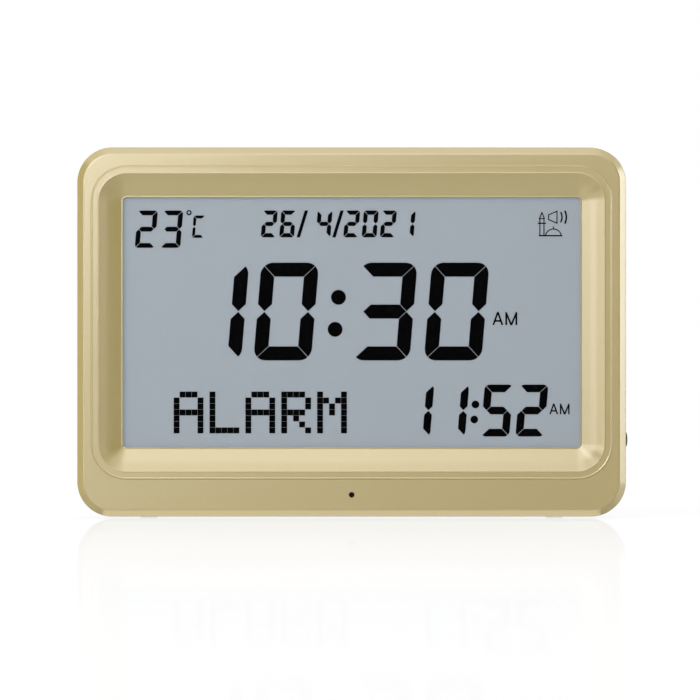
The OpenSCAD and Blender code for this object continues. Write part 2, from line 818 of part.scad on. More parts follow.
module sensor_board() color(board_green) difference() {
    block([-9, 9], [sensor_board_y, sensor_board_y + sensor_board_t], [sensor_z - 4, sensor_z + 4]);
    for (sx = [-1, 1]) {
        translate([sx * sensor_post_x, 0, sensor_z])
            rod_y(small_screw_r + 0.2, sensor_board_y - past, sensor_board_y + sensor_board_t + past);
    }
}

module light_sensor() color(smoke) translate([0, 0, sensor_z]) {
    body_t = 0.8;
    rod_y(1.6, inner_face_y + 0.3, sensor_board_y - body_t);
    block([-2, 2], [sensor_board_y - body_t, sensor_board_y], [-2, 2]);
}

// Dark window plug of the sensor hole
module sensor_lens() color(smoke) translate([0, 0, sensor_z]) {
    rod_y(sensor_d / 2 - 0.02, face_y + 0.25, inner_face_y);
    rod_y(sensor_d / 2 + 0.8, inner_face_y, inner_face_y + 0.3);
}

module side_board() color(board_green) difference() {
    block(side_board_x, [side_y - 6, side_y + 6], side_board_z);
    for (z = [side_board_z[0], side_board_z[1] - side_block_h]) {
        translate([0, side_y, z + side_block_h / 2])
            rod_x(small_screw_r + 0.2, side_board_x[0] - past, side_board_x[1] + past);
    }
}

module side_switch() color(smoke) translate([0, side_y, side_button_z]) difference() {
    block([side_board_x[1], side_board_x[1] + switch_t], [-switch_body / 2, switch_body / 2],
          [-switch_body / 2, switch_body / 2]);
    rod_x(switch_bore_r, side_board_x[1] + 0.6, side_board_x[1] + switch_t + past);
}

// ---------------------------------------------------------------- rear cover

module cover_outer() {
    translate([0, 0, case_mid_z]) {
        plate(parting_y, rear_y - cover_chamfer) rounded_rect(cover_w, cover_h, cover_r);
        rounded_taper(rear_y - cover_chamfer, rear_y, cover_w, cover_h, cover_r, -cover_chamfer);
    }
}

module cover_cavity() {
    in_w = cover_w - 2 * cover_wall;
    in_h = cover_h - 2 * cover_wall;
    in_r = cover_r - cover_wall;
    slope = 2.8;
    translate([0, 0, case_mid_z]) {
        plate(parting_y - 1, cover_inner_y - slope) rounded_rect(in_w, in_h, in_r);
        rounded_taper(cover_inner_y - slope, cover_inner_y, in_w, in_h, in_r, -slope);
    }
}

module door_channel() {
    far = case_w / 2 + 3;
    lip = door_lip + door_play;
    block([door_x0 - door_play, far], [door_inner_y, door_step_y + 0.05],
          [door_z[0] - lip, door_z[1] + lip]);
    block([door_x0 - door_play, far], [door_step_y, rear_y + past],
          [door_z[0] - door_play, door_z[1] + door_play]);
}

module speaker_place() {
    translate([speaker_x, 0, speaker_z]) children();
}

module clamp_places() {
    speaker_place() for (a = clamp_angles) translate([clamp_r * cos(a), 0, clamp_r * sin(a)]) children();
}

module grille() {
    rod_y(grille_d / 2, cover_inner_y - past, rear_y + past);
    for (ring = [1 : grille_rings], i = [0 : 6 * ring - 1]) {
        a = i * 60 / ring;
        r = ring * grille_step;
        translate([r * cos(a), 0, r * sin(a)]) rod_y(grille_d / 2, cover_inner_y - past, rear_y + past);
    }
}

module keyhole(y0, y1, head_r, slot_w) {
    rod_y(head_r, y0, y1);
    block([-slot_w / 2, slot_w / 2], [y0, y1], [0, hanger_rise]);
    translate([0, 0, hanger_rise]) rod_y(slot_w / 2, y0, y1);
}

module cover_inner_parts() {
    tongue_h = 2;
    tongue_t = 1.2;
    tongue_gap = 0.15;
    translate([0, 0, case_mid_z]) plate(parting_y - tongue_h, parting_y + 1) difference() {
        rounded_rect(cavity_w - 2 * tongue_gap, cavity_h - 2 * tongue_gap, cavity_r - tongue_gap);
        rounded_rect(cavity_w - 2 * (tongue_gap + tongue_t), cavity_h - 2 * (tongue_gap + tongue_t),
                     cavity_r - tongue_gap - tongue_t);
    }
    for (p = case_screw_places) translate([p[0], 0, p[1]]) {
        rod_y(boss_r, boss_end_y, parting_y + 1);
        rod_y(column_r, parting_y + 0.4, cover_inner_y + sink);
    }
    // pad behind the keys
    translate([0, 0, key_z]) plate(key_panel_y - key_wall_t, cover_inner_y + sink)
        rounded_rect(key_panel_w + 4, key_panel_h + 4, 4);
    // box of the folding leg
    block([-pin_half_l, pin_half_l], [stand_floor_y - stand_floor_t, cover_inner_y + sink],
          [stand_z[0] - 1.6, stand_z[1] + 1.6]);
    for (sx = [-1, 1]) {
        translate([sx * stand_w / 2, 0, scoop_z])
            rod_y(scoop_r + 1.6, stand_floor_y - stand_floor_t, cover_inner_y + sink);
    }
    // battery bay and the floor that the door slides over
    block([bay_x_in[0] - bay_wall, bay_x_in[1] + bay_wall],
          [bay_floor_y - bay_floor_t, cover_inner_y + sink],
          [bay_z_in[0] - bay_wall, bay_z_in[1] + bay_wall]);
    intersection() {
        cover_outer();
        block([door_x0 - 1.8, case_w / 2], [door_inner_y - door_floor_t, cover_inner_y + sink],
              [door_z[0] - 3, door_z[1] + 3]);
    }
    // keyhole pockets
    for (sx = [-1, 1]) {
        translate([sx * hanger_spacing / 2, 0, hanger_z])
            block([-hanger_pocket_w / 2 - 1.4, hanger_pocket_w / 2 + 1.4],
                  [cover_inner_y - hanger_pocket_d - 1.4, cover_inner_y + sink],
                  [-hanger_head_d / 2 - 2, hanger_rise + 5.4]);
    }
    clamp_places() rod_y(clamp_boss_r, basket_y, cover_inner_y + sink);
}

module vents() {
    vent_count = 6;
    vent_pitch = 4;
    vent_w = 1.8;
    vent_h = 8;
    vent_z = 12;
    for (i = [0 : vent_count - 1]) {
        translate([speaker_x + (i - (vent_count - 1) / 2) * vent_pitch, 0, vent_z])
            plate(cover_inner_y - 4, rear_y + past) rounded_rect(vent_w, vent_h, vent_w / 2 - 0.05);
    }
}

module rear_cover() color(near_black) difference() {
    union() {
        difference() {
            cover_outer();
            cover_cavity();
        }
        cover_inner_parts();
    }
    // screw wells
    for (p = case_screw_places) translate([p[0], 0, p[1]]) {
        rod_y(screw_well_r, case_screw_seat_y, rear_y + past);
        rod_y(case_screw_r + 0.3, boss_end_y - past, case_screw_seat_y + past);
    }
    // key recess and key openings
    translate([0, 0, key_z]) plate(key_panel_y, rear_y + past) rounded_rect(key_panel_w, key_panel_h, 3);
    for (i = [0 : key_count - 1]) {
        translate([key_x(i), 0, key_z]) plate(key_panel_y - key_wall_t - past, rear_y + past)
            rounded_rect(key_w + 2 * key_gap, key_h + 2 * key_gap, key_corner_r + key_gap);
    }
    // leg recess, finger scoops and hinge bores
    block([-stand_w / 2, stand_w / 2], [stand_floor_y, rear_y + past], stand_z);
    for (sx = [-1, 1]) {
        translate([sx * stand_w / 2, 0, scoop_z]) rod_y(scoop_r, stand_floor_y, rear_y + past);
    }
    translate([0, hinge_y, leg_hinge_z]) rod_x(pin_r + 0.01, -pin_half_l - past, pin_half_l + past);
    // battery bay and door channel
    block(bay_x_in, [bay_floor_y, rear_y + past], bay_z_in);
    door_channel();
    speaker_place() grille();
    vents();
    for (sx = [-1, 1]) {
        translate([sx * hanger_spacing / 2, 0, hanger_z]) {
            keyhole(cover_inner_y - past, rear_y + past, hanger_head_d / 2, hanger_slot_w);
            block([-hanger_pocket_w / 2, hanger_pocket_w / 2],
                  [cover_inner_y - hanger_pocket_d, cover_inner_y],
                  [-hanger_head_d / 2 - 0.6, hanger_rise + 4]);
        }
        translate([sx * foot_x, foot_rear_y, -past]) foot_pocket();
    }
    clamp_places() rod_y(board_screw_r + pilot_gap, basket_y - past, cover_inner_y);
    translate([jack_x, 0, jack_z]) rod_y(jack_collar_r + 0.05, cover_inner_y - 2, rear_y + past);
}

// ---------------------------------------------------------------- loudspeaker

// Turns an outline of radius and depth about the loudspeaker's own axis
module turned() {
    speaker_place() rotate([-90, 0, 0]) rotate_extrude($fn = 64) children();
}

module speaker_basket() color(steel) difference() {
    union() {
        turned() {
            polygon([[speaker_r - 4, basket_y], [speaker_r, basket_y], [speaker_r, basket_y + basket_t],
                     [speaker_r - 4, basket_y + basket_t]]);
            polygon([[magnet_r - 1, magnet_y[1]], [magnet_r + 1, magnet_y[1]],
                     [speaker_r - 3, basket_y + 0.5], [speaker_r - 4, basket_y + basket_t],
                     [magnet_r, magnet_y[1] + basket_t], [magnet_r - 1, magnet_y[1] + basket_t]]);
            polygon([[5, magnet_y[1]], [magnet_r, magnet_y[1]], [magnet_r, magnet_y[1] + basket_t],
                     [5, magnet_y[1] + basket_t]]);
        }
        speaker_place() block([-4, 4], [basket_y - 4, basket_y - 0.5], [18.5, 20.5]);
    }
    for (a = [0 : 60 : 300]) {
        speaker_place() rotate([0, a + 30, 0])
            block([magnet_r + 2.5, speaker_r - 5.5], [magnet_y[1] - 1, basket_y + 2], [-4, 4]);
    }
}

module speaker_magnet() color("#3a3b3d") turned()
    polygon([[0, magnet_y[0]], [magnet_r, magnet_y[0]], [magnet_r, magnet_y[1]], [0, magnet_y[1]]]);

// Paper cone with its rim glued inside the gasket, and its dust cap
module speaker_cone() color("#1b1b1d") turned() {
    rim_r = speaker_r - 7;
    top = basket_y + basket_t;
    deep = magnet_y[1] + basket_t + 0.5;
    polygon([[7, deep], [8, deep], [rim_r, top], [speaker_r - 3.1, top],
             [speaker_r - 3.1, top + 0.4], [rim_r - 0.4, top + 0.4], [7, deep + 0.6]]);
    polygon(concat([[0, deep + 0.3], [7.4, deep + 0.3]],
                   [for (i = [0 : 5]) [7.4 * cos(i * 18), deep + 0.8 + 1.6 * sin(i * 18)]]));
}

module speaker_gasket() color("#2c2c2e") turned()
    polygon([[speaker_r - 3, basket_y + basket_t], [speaker_r, basket_y + basket_t],
             [speaker_r, cover_inner_y], [speaker_r - 3, cover_inner_y]]);

// ---------------------------------------------------------------- power

function cell_z(i) = bay_z + (i - (cell_count - 1) / 2) * cell_pitch;

// Spring tongues and plates at both ends of the bay
module battery_contacts() color(tin) {
    half_h = 5.5;
    tongue_x = 4.3;
    for (i = [0 : cell_count - 1], side = [-1, 1]) {
        end_x = side > 0 ? bay_x_in[1] : bay_x_in[0];
        translate([end_x, cell_y, cell_z(i)]) {
            block(side > 0 ? [-contact_t, 0] : [0, contact_t], [-5, 5], [-half_h, half_h]);
            translate([0, 0, -2]) linear_extrude(4) polygon([
                [-side * contact_t, -4], [-side * (tongue_x + contact_t), 0.5],
                [-side * contact_t, 4], [-side * contact_t, 3.4],
                [-side * tongue_x, 0.5], [-side * contact_t, -3.4]]);
        }
    }
}

module aa_cells() color("#3f6a57") for (i = [0 : cell_count - 1]) {
    nub = 1.3;
    turn = i % 2 == 0 ? 1 : -1;
    translate([bay_x, cell_y, cell_z(i)]) {
        rod_x(cell_r, -cell_l / 2 + (turn > 0 ? 0 : nub), cell_l / 2 - (turn > 0 ? nub : 0));
        if (turn > 0) rod_x(2.7, cell_l / 2 - nub - 0.1, cell_l / 2);
        else rod_x(2.7, -cell_l / 2, -cell_l / 2 + nub + 0.1);
    }
}

// Low-voltage inlet: square body, round collar in the wall, and a centre pin
module dc_jack() color(smoke) translate([jack_x, 0, jack_z]) {
    difference() {
        union() {
            block([-jack_size / 2, jack_size / 2], [jack_y, cover_inner_y],
                  [-jack_size / 2, jack_size / 2]);
            rod_y(jack_collar_r, cover_inner_y - 0.5, rear_y - 0.4);
        }
        rod_y(jack_bore_r, jack_y + jack_floor, rear_y + past);
    }
    rod_y(jack_pin_r, jack_y + jack_floor / 2, rear_y - 3);
}

// A lead along straight runs that meet at round bends
module lead(points, r) {
    for (i = [0 : len(points) - 2]) {
        run = points[i + 1] - points[i];
        length = norm(run);
        translate(points[i])
            rotate([0, acos(run[2] / length), atan2(run[1], run[0])]) cylinder(r = r, h = length, $fn = 16);
    }
    for (i = [1 : len(points) - 2]) translate(points[i]) sphere(r, $fn = 16);
}

lead_r = 0.6;
lead_apart = 1.5;

module speaker_leads() color("#a02020") for (side = [-1, 1]) {
    x = speaker_x + lead_apart * side;
    y = basket_y - 2.4;
    z = speaker_z + 20.5;
    turn_z = socket_places[0][1] - 8;
    plug_y = board_back_y + 2;
    lead([[x, y, z], [x, y, turn_z], [x, plug_y, turn_z], [x, plug_y, turn_z + 6]], lead_r);
}

module battery_leads() color("#a02020") for (side = [-1, 1]) {
    x = socket_places[1][0] + lead_apart * side;
    y = board_back_y + 2.4;
    lead([[x, y, bay_z_in[1] + bay_wall], [x, y, socket_places[1][1] - socket_h / 2]], lead_r);
}

module dc_leads() color("#a02020") for (side = [-1, 1]) {
    x = -99.6 + 0.8 * side;
    z = 112 - 0.8 * side;
    lead([[x, board_back_y + 2.2, jack_z + jack_size / 2], [x, board_back_y + 2.2, z],
          [-87, board_back_y + 2.2, z]], lead_r);
}

// ---------------------------------------------------------------- fasteners and feet

module case_screws() color(steel) for (p = case_screw_places) {
    translate([p[0], case_screw_seat_y, p[1]])
        screw_y(2.8, 1.8, case_screw_r, case_screw_seat_y - case_screw_tip_y);
}

// Board screws: four on the main board, two on the sensor board, two on the side board
module board_screws() color(steel) {
    for (sx = [-1, 1], z = board_post_z) {
        translate([sx * board_post_x, board_back_y, z])
            screw_y(board_head_r, board_head_h, board_screw_r, 4);
    }
    for (sx = [-1, 1]) {
        translate([sx * sensor_post_x, sensor_board_y + sensor_board_t, sensor_z])
            screw_y(small_head_r, small_head_h, small_screw_r, small_screw_l);
    }
    for (z = [side_board_z[0], side_board_z[1] - side_block_h]) {
        translate([side_board_x[1], side_y, z + side_block_h / 2]) {
            rod_x(small_head_r, 0, small_head_h);
            rod_x(small_screw_r, -small_screw_l, 0);
        }
    }
}

module holder_screws() color(steel) holder_post_places()
    translate([0, holder_plate_y + ear_t, 0])
        screw_y(board_head_r, board_head_h, holder_screw_r, ear_t + 6);

// Clamp screws: their heads hold the rim of the loudspeaker
module speaker_screws() color(steel) clamp_places() {
    rod_y(3.1, basket_y - 1.4, basket_y);
    rod_y(board_screw_r, basket_y - 0.2, basket_y + 1.8);
}

module foot_pads() color("#3b3b3b") {
    for (sx = [-1, 1], y = [foot_front_y, foot_rear_y]) {
        translate([sx * foot_x, y, 0]) cylinder(r = foot_d / 2, h = foot_h + foot_depth);
    }
}

module stand_pin() color(steel) translate([0, hinge_y, leg_hinge_z]) rod_x(pin_r, -pin_half_l, pin_half_l);

// ---------------------------------------------------------------- moving parts

// Folding leg, round about its hinge at the top
module stand_leg() color(near_black) difference() {
    y = [hinge_y - leg_t / 2, hinge_y + leg_t / 2];
    union() {
        translate([0, hinge_y, leg_hinge_z]) rod_x(leg_t / 2, -leg_w / 2, leg_w / 2);
        block([-leg_w / 2, leg_w / 2], y, [leg_end_z + leg_end_r, leg_hinge_z]);
        block([leg_end_r - leg_w / 2, leg_w / 2 - leg_end_r], y, [leg_end_z, leg_hinge_z]);
        for (sx = [-1, 1]) {
            translate([sx * (leg_w / 2 - leg_end_r), 0, leg_end_z + leg_end_r])
                rod_y(leg_end_r, y[0], y[1]);
        }
    }
    translate([0, hinge_y, leg_hinge_z]) rod_x(pin_r + 0.05, -leg_w / 2 - past, leg_w / 2 + past);
    // shallow panel on the outside
    panel_depth = 0.6;
    translate([0, 0, (leg_end_z + leg_hinge_z) / 2 - 2]) plate(y[1] - panel_depth, y[1] + past)
        rounded_rect(leg_w - 12, leg_hinge_z - leg_end_z - 22, 4);
}

// Battery door: a plate with a lip along both long edges, its outer face that of the cover
module battery_door() color(near_black) difference() {
    intersection() {
        cover_outer();
        union() {
            block([door_x0, case_w / 2 + 2], [door_inner_y + 0.05, door_step_y],
                  [door_z[0] - door_lip, door_z[1] + door_lip]);
            block([door_x0, case_w / 2 + 2], [door_step_y - 0.1, rear_y + past], door_z);
        }
    }
    groove_count = 6;
    groove_pitch = 2.6;
    groove_x = 90;
    groove_half = 9;
    for (i = [0 : groove_count - 1]) {
        x = groove_x + i * groove_pitch;
        block([x, x + groove_pitch / 2], [rear_y - 0.6, rear_y + past],
              [bay_z - groove_half, bay_z + groove_half]);
    }
}

// Domed side button with its collar and the stem that enters the switch
module side_button() color(smoke) translate([0, side_y, side_button_z]) {
    tip_x = side_wall_x + side_button_out;
    dome_h = 1.1;
    dome_r = (side_button_r * side_button_r + dome_h * dome_h) / (2 * dome_h);
    collar_x = wall_in_x - 0.05;
    rotate([0, 90, 0]) rotate_extrude() {
        intersection() {
            translate([0, tip_x - dome_r]) circle(dome_r, $fn = 96);
            translate([0, collar_x - 0.5]) square([side_button_r, tip_x]);
        }
        translate([0, collar_x - 1]) square([side_button_r + 1, 1]);
        translate([0, side_board_x[1] + 1.3]) square([plunger_r, collar_x - 1 - side_board_x[1]]);
    }
}

// Rear key: cap, lip behind the wall and the stem that enters the switch
module rear_key(i) color(smoke) translate([key_x(i), 0, key_z]) {
    lip_y = key_panel_y - key_wall_t - 0.05;
    plate(lip_y - 0.1, key_top_y - 0.4) rounded_rect(key_w, key_h, key_corner_r);
    rounded_taper(key_top_y - 0.4, key_top_y, key_w, key_h, key_corner_r, -0.4);
    plate(lip_y - key_lip_t, lip_y)
        rounded_rect(key_w + 2 * key_lip, key_h + 2 * key_lip, key_corner_r + key_lip);
    rod_y(plunger_r, board_back_y + 1.3, lip_y - 0.5);
}

module key_mode() rear_key(0);
module key_set() rear_key(1);
module key_up() rear_key(2);
module key_down() rear_key(3);
module key_alarm() rear_key(4);

front_frame();
display_window();
lcd_front_polarizer();
lcd_front_glass();
lcd_rear_glass();
lcd_rear_polarizer();
time_segments();
date_segments();
temperature_segments();
alarm_time_segments();
word_dots();
status_icon();
am_marks();
lcd_ribbon();
light_guide();
reflector_sheet();
led_strip();
lcd_holder();
main_board();
controller_chip();
amplifier_chip();
crystal();
board_capacitors();
backup_cell();
board_sockets();
key_switches();
sensor_board();
light_sensor();
sensor_lens();
side_board();
side_switch();
rear_cover();
speaker_basket();
speaker_magnet();
speaker_cone();
speaker_gasket();
battery_contacts();
aa_cells();
dc_jack();
speaker_leads();
battery_leads();
dc_leads();
case_screws();
board_screws();
holder_screws();
speaker_screws();
foot_pads();
stand_pin();
stand_leg();
battery_door();
side_button();
key_mode();
key_set();
key_up();
key_down();
key_alarm();
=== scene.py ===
import math

import bmesh
import bpy
from bpy.props import FloatProperty, FloatVectorProperty, IntProperty, PointerProperty
from mathutils import Matrix, Vector


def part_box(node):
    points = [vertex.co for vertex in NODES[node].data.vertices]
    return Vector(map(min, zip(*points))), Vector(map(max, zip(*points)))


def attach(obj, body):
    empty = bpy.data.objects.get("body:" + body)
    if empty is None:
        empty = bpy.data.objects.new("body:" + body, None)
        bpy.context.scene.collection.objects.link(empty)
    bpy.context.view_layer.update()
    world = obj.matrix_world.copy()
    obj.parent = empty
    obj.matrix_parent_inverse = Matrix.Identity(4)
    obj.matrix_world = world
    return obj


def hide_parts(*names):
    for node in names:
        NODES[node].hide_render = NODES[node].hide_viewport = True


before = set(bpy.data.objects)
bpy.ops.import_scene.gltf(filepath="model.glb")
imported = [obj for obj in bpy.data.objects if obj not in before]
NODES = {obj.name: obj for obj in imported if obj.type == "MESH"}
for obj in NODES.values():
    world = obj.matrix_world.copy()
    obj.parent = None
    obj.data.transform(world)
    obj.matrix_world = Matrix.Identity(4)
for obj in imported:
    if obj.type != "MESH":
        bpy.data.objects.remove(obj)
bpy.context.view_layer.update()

bl_info = {
    "name": "Azan clock",
    "version": (1, 0, 0),
    "blender": (4, 5, 0),
    "location": "View3D > Sidebar > Azan clock",
    "description": "Builds the dressed pieces, the finishes and the stage of an azan clock",
    "category": "Object",
}

MM = 0.001
MERGE = 2e-6
QUARTER = math.pi / 2
CASE_BODY = "case"
KEYS = {"key_mode": "MODE", "key_set": "SET", "key_up": "+", "key_down": "-",
        "key_alarm": "ALARM"}


# ---- settings

def length(name, description, millimetres):
    """A size property in metres, given in millimetres."""
    return FloatProperty(name=name, description=description, default=millimetres * MM,
                         min=0.0, unit="LENGTH", precision=5)


def power(name, description, watts):
    """A property for the power of a lamp."""
    return FloatProperty(name=name, description=description, default=watts, min=0.0,
                         unit="POWER")


def linear(red, green, blue):
    """The linear colour of an 8-bit screen colour."""
    shares = [value / 255 for value in (red, green, blue)]
    return [s / 12.92 if s <= 0.04045 else ((s + 0.055) / 1.055) ** 2.4 for s in shares]


def paint(name, description, red, green, blue):
    """A colour property, its default given as an 8-bit screen colour."""
    return FloatVectorProperty(name=name, description=description, subtype="COLOR", size=3,
                               min=0.0, max=1.0, default=linear(red, green, blue))


class ClockShellSizes(bpy.types.PropertyGroup):
    """Sizes of the front shell and its button that the frame's boxes don't give."""
    corner_steps: IntProperty(name="Corner steps", default=24, min=6, max=64,
                              description="Faces around each rounded corner")
    draft: length("Draft", "Widening of the side walls towards the parting line", 0.4)
    corner: length("Corner radius", "Radius of the case's corners at the parting line", 15)
    bevel: length("Bevel", "Width and depth of the bevel around the face", 2.8)
    wall: length("Wall", "Thickness of the front shell", 2.4)
    glazing: length("Glazing", "Width of the display window hidden behind its edge", 2)
    window_corner: length("Window corner", "Corner radius of the display window", 1.8)
    slope_width: length("Slope width", "Width of the sloping surround seen from the front", 9.8)
    slope_depth: length("Slope depth", "Depth of the sloping surround", 5.5)
    slope_sag: length("Slope sag", "How far the middle of the slope curves in", 0.6)
    rim_width: length("Rim width", "Width of the raised rim around the slope", 3.45)
    rim_height: length("Rim height", "Height of the raised rim above the face", 0.5)
    rim_edge: length("Rim edge", "Width of the sloping outer edge of the rim", 0.35)
    bead: length("Bead", "Width of the beads along both edges of the rim", 0.55)
    bead_height: length("Bead height", "Height of the beads above the rim between them", 0.08)
    lip: length("Lip", "Width of the rounded lip around the window", 0.55)
    lip_height: length("Lip height", "Height of the lip above the end of the slope", 0.15)
    face_round: length("Face rounding", "Radius between the face and its bevel", 1.2)
    dome: length("Button dome", "Height of the side button's rounded end", 0.7)
    collar: length("Button collar", "Width and thickness of the side button's collar", 1)
    button_depth: length("Button depth", "From the side button's tip to its collar", 3.45)
    stem_radius: length("Stem radius", "Radius of the side button's stem", 1.7)


class ClockRearSizes(bpy.types.PropertyGroup):
    """Sizes of the rounded edges and small parts at the back."""
    edge: length("Edge", "Radius of the moulded edges at the back", 0.22)
    key_dish: length("Key dish", "Depth of the dished top of a rear key", 0.28)
    key_edge: length("Key edge", "Radius around the top of a rear key", 0.45)
    rib_radius: length("Rib radius", "Radius of the ribs on the folding leg", 0.55)
    rib_pitch: length("Rib pitch", "Spacing of the ribs on the folding leg", 5.2)
    rib_count: IntProperty(name="Ribs", description="Number of ribs on the folding leg",
                           default=6, min=1, max=8)
    screw_head: length("Screw head", "Radius of a case screw's head", 2.8)
    screw_height: length("Screw height", "Height of a case screw's head", 1.8)
    legend: length("Legend", "Height of the words printed above the rear keys", 2.1)


class ClockColours(bpy.types.PropertyGroup):
    """Colours of the finishes."""
    gold: paint("Champagne", "Front shell", 170, 151, 84)
    black: paint("Black plastic", "Rear cover, leg and door", 34, 35, 37)
    key: paint("Key black", "Keys and side button", 9, 9, 10)
    field: paint("Display field", "Polarizer of the display", 131, 138, 145)
    ink: paint("Display ink", "Dark segments of the display", 2, 2, 3)
    steel: paint("Steel", "Screws, pin and loudspeaker frame", 178, 180, 184)
    rubber: paint("Silicone", "Foot pads", 226, 228, 229)
    board: paint("Circuit board", "Boards inside the case", 24, 82, 52)
    legend: paint("Legend", "Print above the rear keys", 206, 207, 205)


class ClockStage(bpy.types.PropertyGroup):
    """Camera and light."""
    distance: length("Camera distance", "Distance of the camera from the face", 2500)
    key_power: power("Key light", "Power of the small lamp near the camera", 3.9)
    broad_power: power("Broad light", "Power of the large lamp up on the left", 6.3)
    front_power: power("Front light", "Power of the large lamp above the camera", 7.5)
    left_power: power("Left light", "Power of the lamp on the left", 3.9)
    top_power: power("Top light", "Power of the lamp above, in front of the clock", 1.75)
    high_power: power("High light", "Power of the lamp straight above", 1.1)
    strip_power: power("Right strip", "Power of the lamp beside the clock on the right", 1.9)
    side_power: power("Left strip", "Power of the lamp beside the clock on the left", 2.0)
    bounce_power: power("Bounce", "Power of the light from the floor along the front", 0.0018)
    rear_power: power("Rear light", "Power of the lamp behind", 7.0)
    ambient: FloatProperty(name="Ambient", description="Strength of the even light",
                           default=0.28, min=0.0)


# ---- mesh helpers

def middle(node):
    """The middle of a CAD node's box, as x, y and z."""
    return [(low + high) / 2 for low, high in zip(*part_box(node))]


def rounded_outline(half_w, half_h, radius, steps):
    """Points (x, z) of a rounded rectangle about the origin, the same number for any size."""
    radius = min(radius, half_w, half_h)
    points = []
    for corner, (side_x, side_z) in enumerate(((1, 1), (-1, 1), (-1, -1), (1, -1))):
        for step in range(steps + 1):
            angle = QUARTER * (corner + step / steps)
            points.append((side_x * (half_w - radius) + radius * math.cos(angle),
                           side_z * (half_h - radius) + radius * math.sin(angle)))
    return points


def level_ring(outline, depth, centre_x=0.0, centre_z=0.0):
    """An outline laid at one depth along Y."""
    return [Vector((x + centre_x, depth, z + centre_z)) for x, z in outline]


def filleted(corners, steps=4):
    """A path through corners (a, b, radius), rounded there. The two end corners only aim it."""
    path = []
    for before, here, after in zip(corners, corners[1:], corners[2:]):
        corner = Vector(here[:2])
        radius = here[2]
        if not radius:
            path.append(corner)
            continue
        back = (Vector(before[:2]) - corner).normalized()
        ahead = (Vector(after[:2]) - corner).normalized()
        half = back.angle(ahead) / 2
        centre = corner + (back + ahead).normalized() * radius / math.sin(half)
        first = corner + back * radius / math.tan(half) - centre
        last = corner + ahead * radius / math.tan(half) - centre
        turn = math.pi - 2 * half
        for step in range(steps + 1):
            share = step / steps
            path.append(centre + (first * math.sin((1 - share) * turn)
                                  + last * math.sin(share * turn)) / math.sin(turn))
    return path


def skin(bm, rings, closed=False):
    """Joins rings of equal point counts into a closed solid, as a tube or as a loop."""
    rows = [[bm.verts.new(point) for point in ring] for ring in rings]
    pairs = list(zip(rows, rows[1:]))
    if closed:
        pairs.append((rows[-1], rows[0]))
    for low, high in pairs:
        for i in range(len(low)):
            j = (i + 1) % len(low)
            bm.faces.new((low[i], low[j], high[j], high[i]))
    if not closed:
        bm.faces.new(list(reversed(rows[0])))
        bm.faces.new(rows[-1])


def turned(bm, profile, place, steps=48):
    """A closed solid turned about the local Z axis of place, from (radius, height) points."""
    angles = [2 * math.pi * i / steps for i in range(steps)]
    skin(bm, [[place @ Vector((radius * math.cos(a), radius * math.sin(a), height))
               for a in angles] for radius, height in profile])


def along_x(x, y, z):
    """A place whose local Z axis runs along +X."""
    return Matrix.Translation((x, y, z)) @ Matrix.Rotation(QUARTER, 4, "Y")


def along_y(x, y, z):
    """A place whose local Z axis runs along +Y."""
    return Matrix.Translation((x, y, z)) @ Matrix.Rotation(-QUARTER, 4, "X")


def linked(name, data):
    """A new object in the scene's collection."""
    made = bpy.data.objects.new(name, data)
    bpy.context.scene.collection.objects.link(made)
    return made


def mesh_object(bm, name):
    """Turns a bmesh of closed solids into a linked object with outward faces."""
    bmesh.ops.remove_doubles(bm, verts=bm.verts, dist=MERGE)
    bmesh.ops.recalc_face_normals(bm, faces=bm.faces)
    mesh = bpy.data.meshes.new(name)
    bm.to_mesh(mesh)
    bm.free()
    return linked(name, mesh)


def evaluated_mesh(made):
    """The mesh that an object's modifiers, or its text, come to."""
    bpy.context.view_layer.update()
    graph = bpy.context.evaluated_depsgraph_get()
    return bpy.data.meshes.new_from_object(made.evaluated_get(graph), depsgraph=graph)


def applied(made):
    """Replaces an object's mesh by what its modifiers make of it, and removes them."""
    mesh = evaluated_mesh(made)
    made.modifiers.clear()
    made.data = mesh
    mesh.name = made.name
    return made


def cut(made, cutter):
    """Cuts one object out of another and removes the cutter."""
    boolean = made.modifiers.new("cut", "BOOLEAN")
    boolean.operation = "DIFFERENCE"
    boolean.solver = "EXACT"
    boolean.object = cutter
    applied(made)
    bpy.data.objects.remove(cutter)
    return made


def smoothed(made, sharp_degrees=35):
    """Smooth shading with sharp creases, each vertex led by its largest faces."""
    mesh = made.data
    mesh.polygons.foreach_set("use_smooth", [True] * len(mesh.polygons))
    mesh.set_sharp_from_angle(angle=math.radians(sharp_degrees))
    weighted = made.modifiers.new("weighted", "WEIGHTED_NORMAL")
    weighted.mode = "FACE_AREA"
    weighted.keep_sharp = True
    return applied(made)


def softened(node, name, radius, segments=2):
    """A copy of a CAD node with its sharp edges rounded."""
    flat_degrees = 0.6
    sharp_degrees = 30
    bm = bmesh.new()
    bm.from_mesh(NODES[node].data)
    bmesh.ops.remove_doubles(bm, verts=bm.verts, dist=MERGE)
    bmesh.ops.dissolve_limit(bm, angle_limit=math.radians(flat_degrees),
                             use_dissolve_boundaries=False, verts=bm.verts, edges=bm.edges)
    edges = [edge for edge in bm.edges
             if len(edge.link_faces) == 2
             and edge.calc_face_angle(0.0) > math.radians(sharp_degrees)]
    bmesh.ops.bevel(bm, geom=edges, offset=radius, offset_type="OFFSET", segments=segments,
                    profile=0.5, affect="EDGES", clamp_overlap=False, loop_slide=False)
    return mesh_object(bm, name)


def finished(made, slot, body, *replaced, look=None):
    """Gives a piece its material and its body, and hides the CAD nodes that it stands for."""
    if not made.data.polygons:
        raise RuntimeError(f"{made.name} has no faces")
    made.data.materials.clear()
    made.data.materials.append(finish(look or slot))
    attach(made, body)
    if replaced:
        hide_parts(*replaced)
    return made


# ---- node helpers

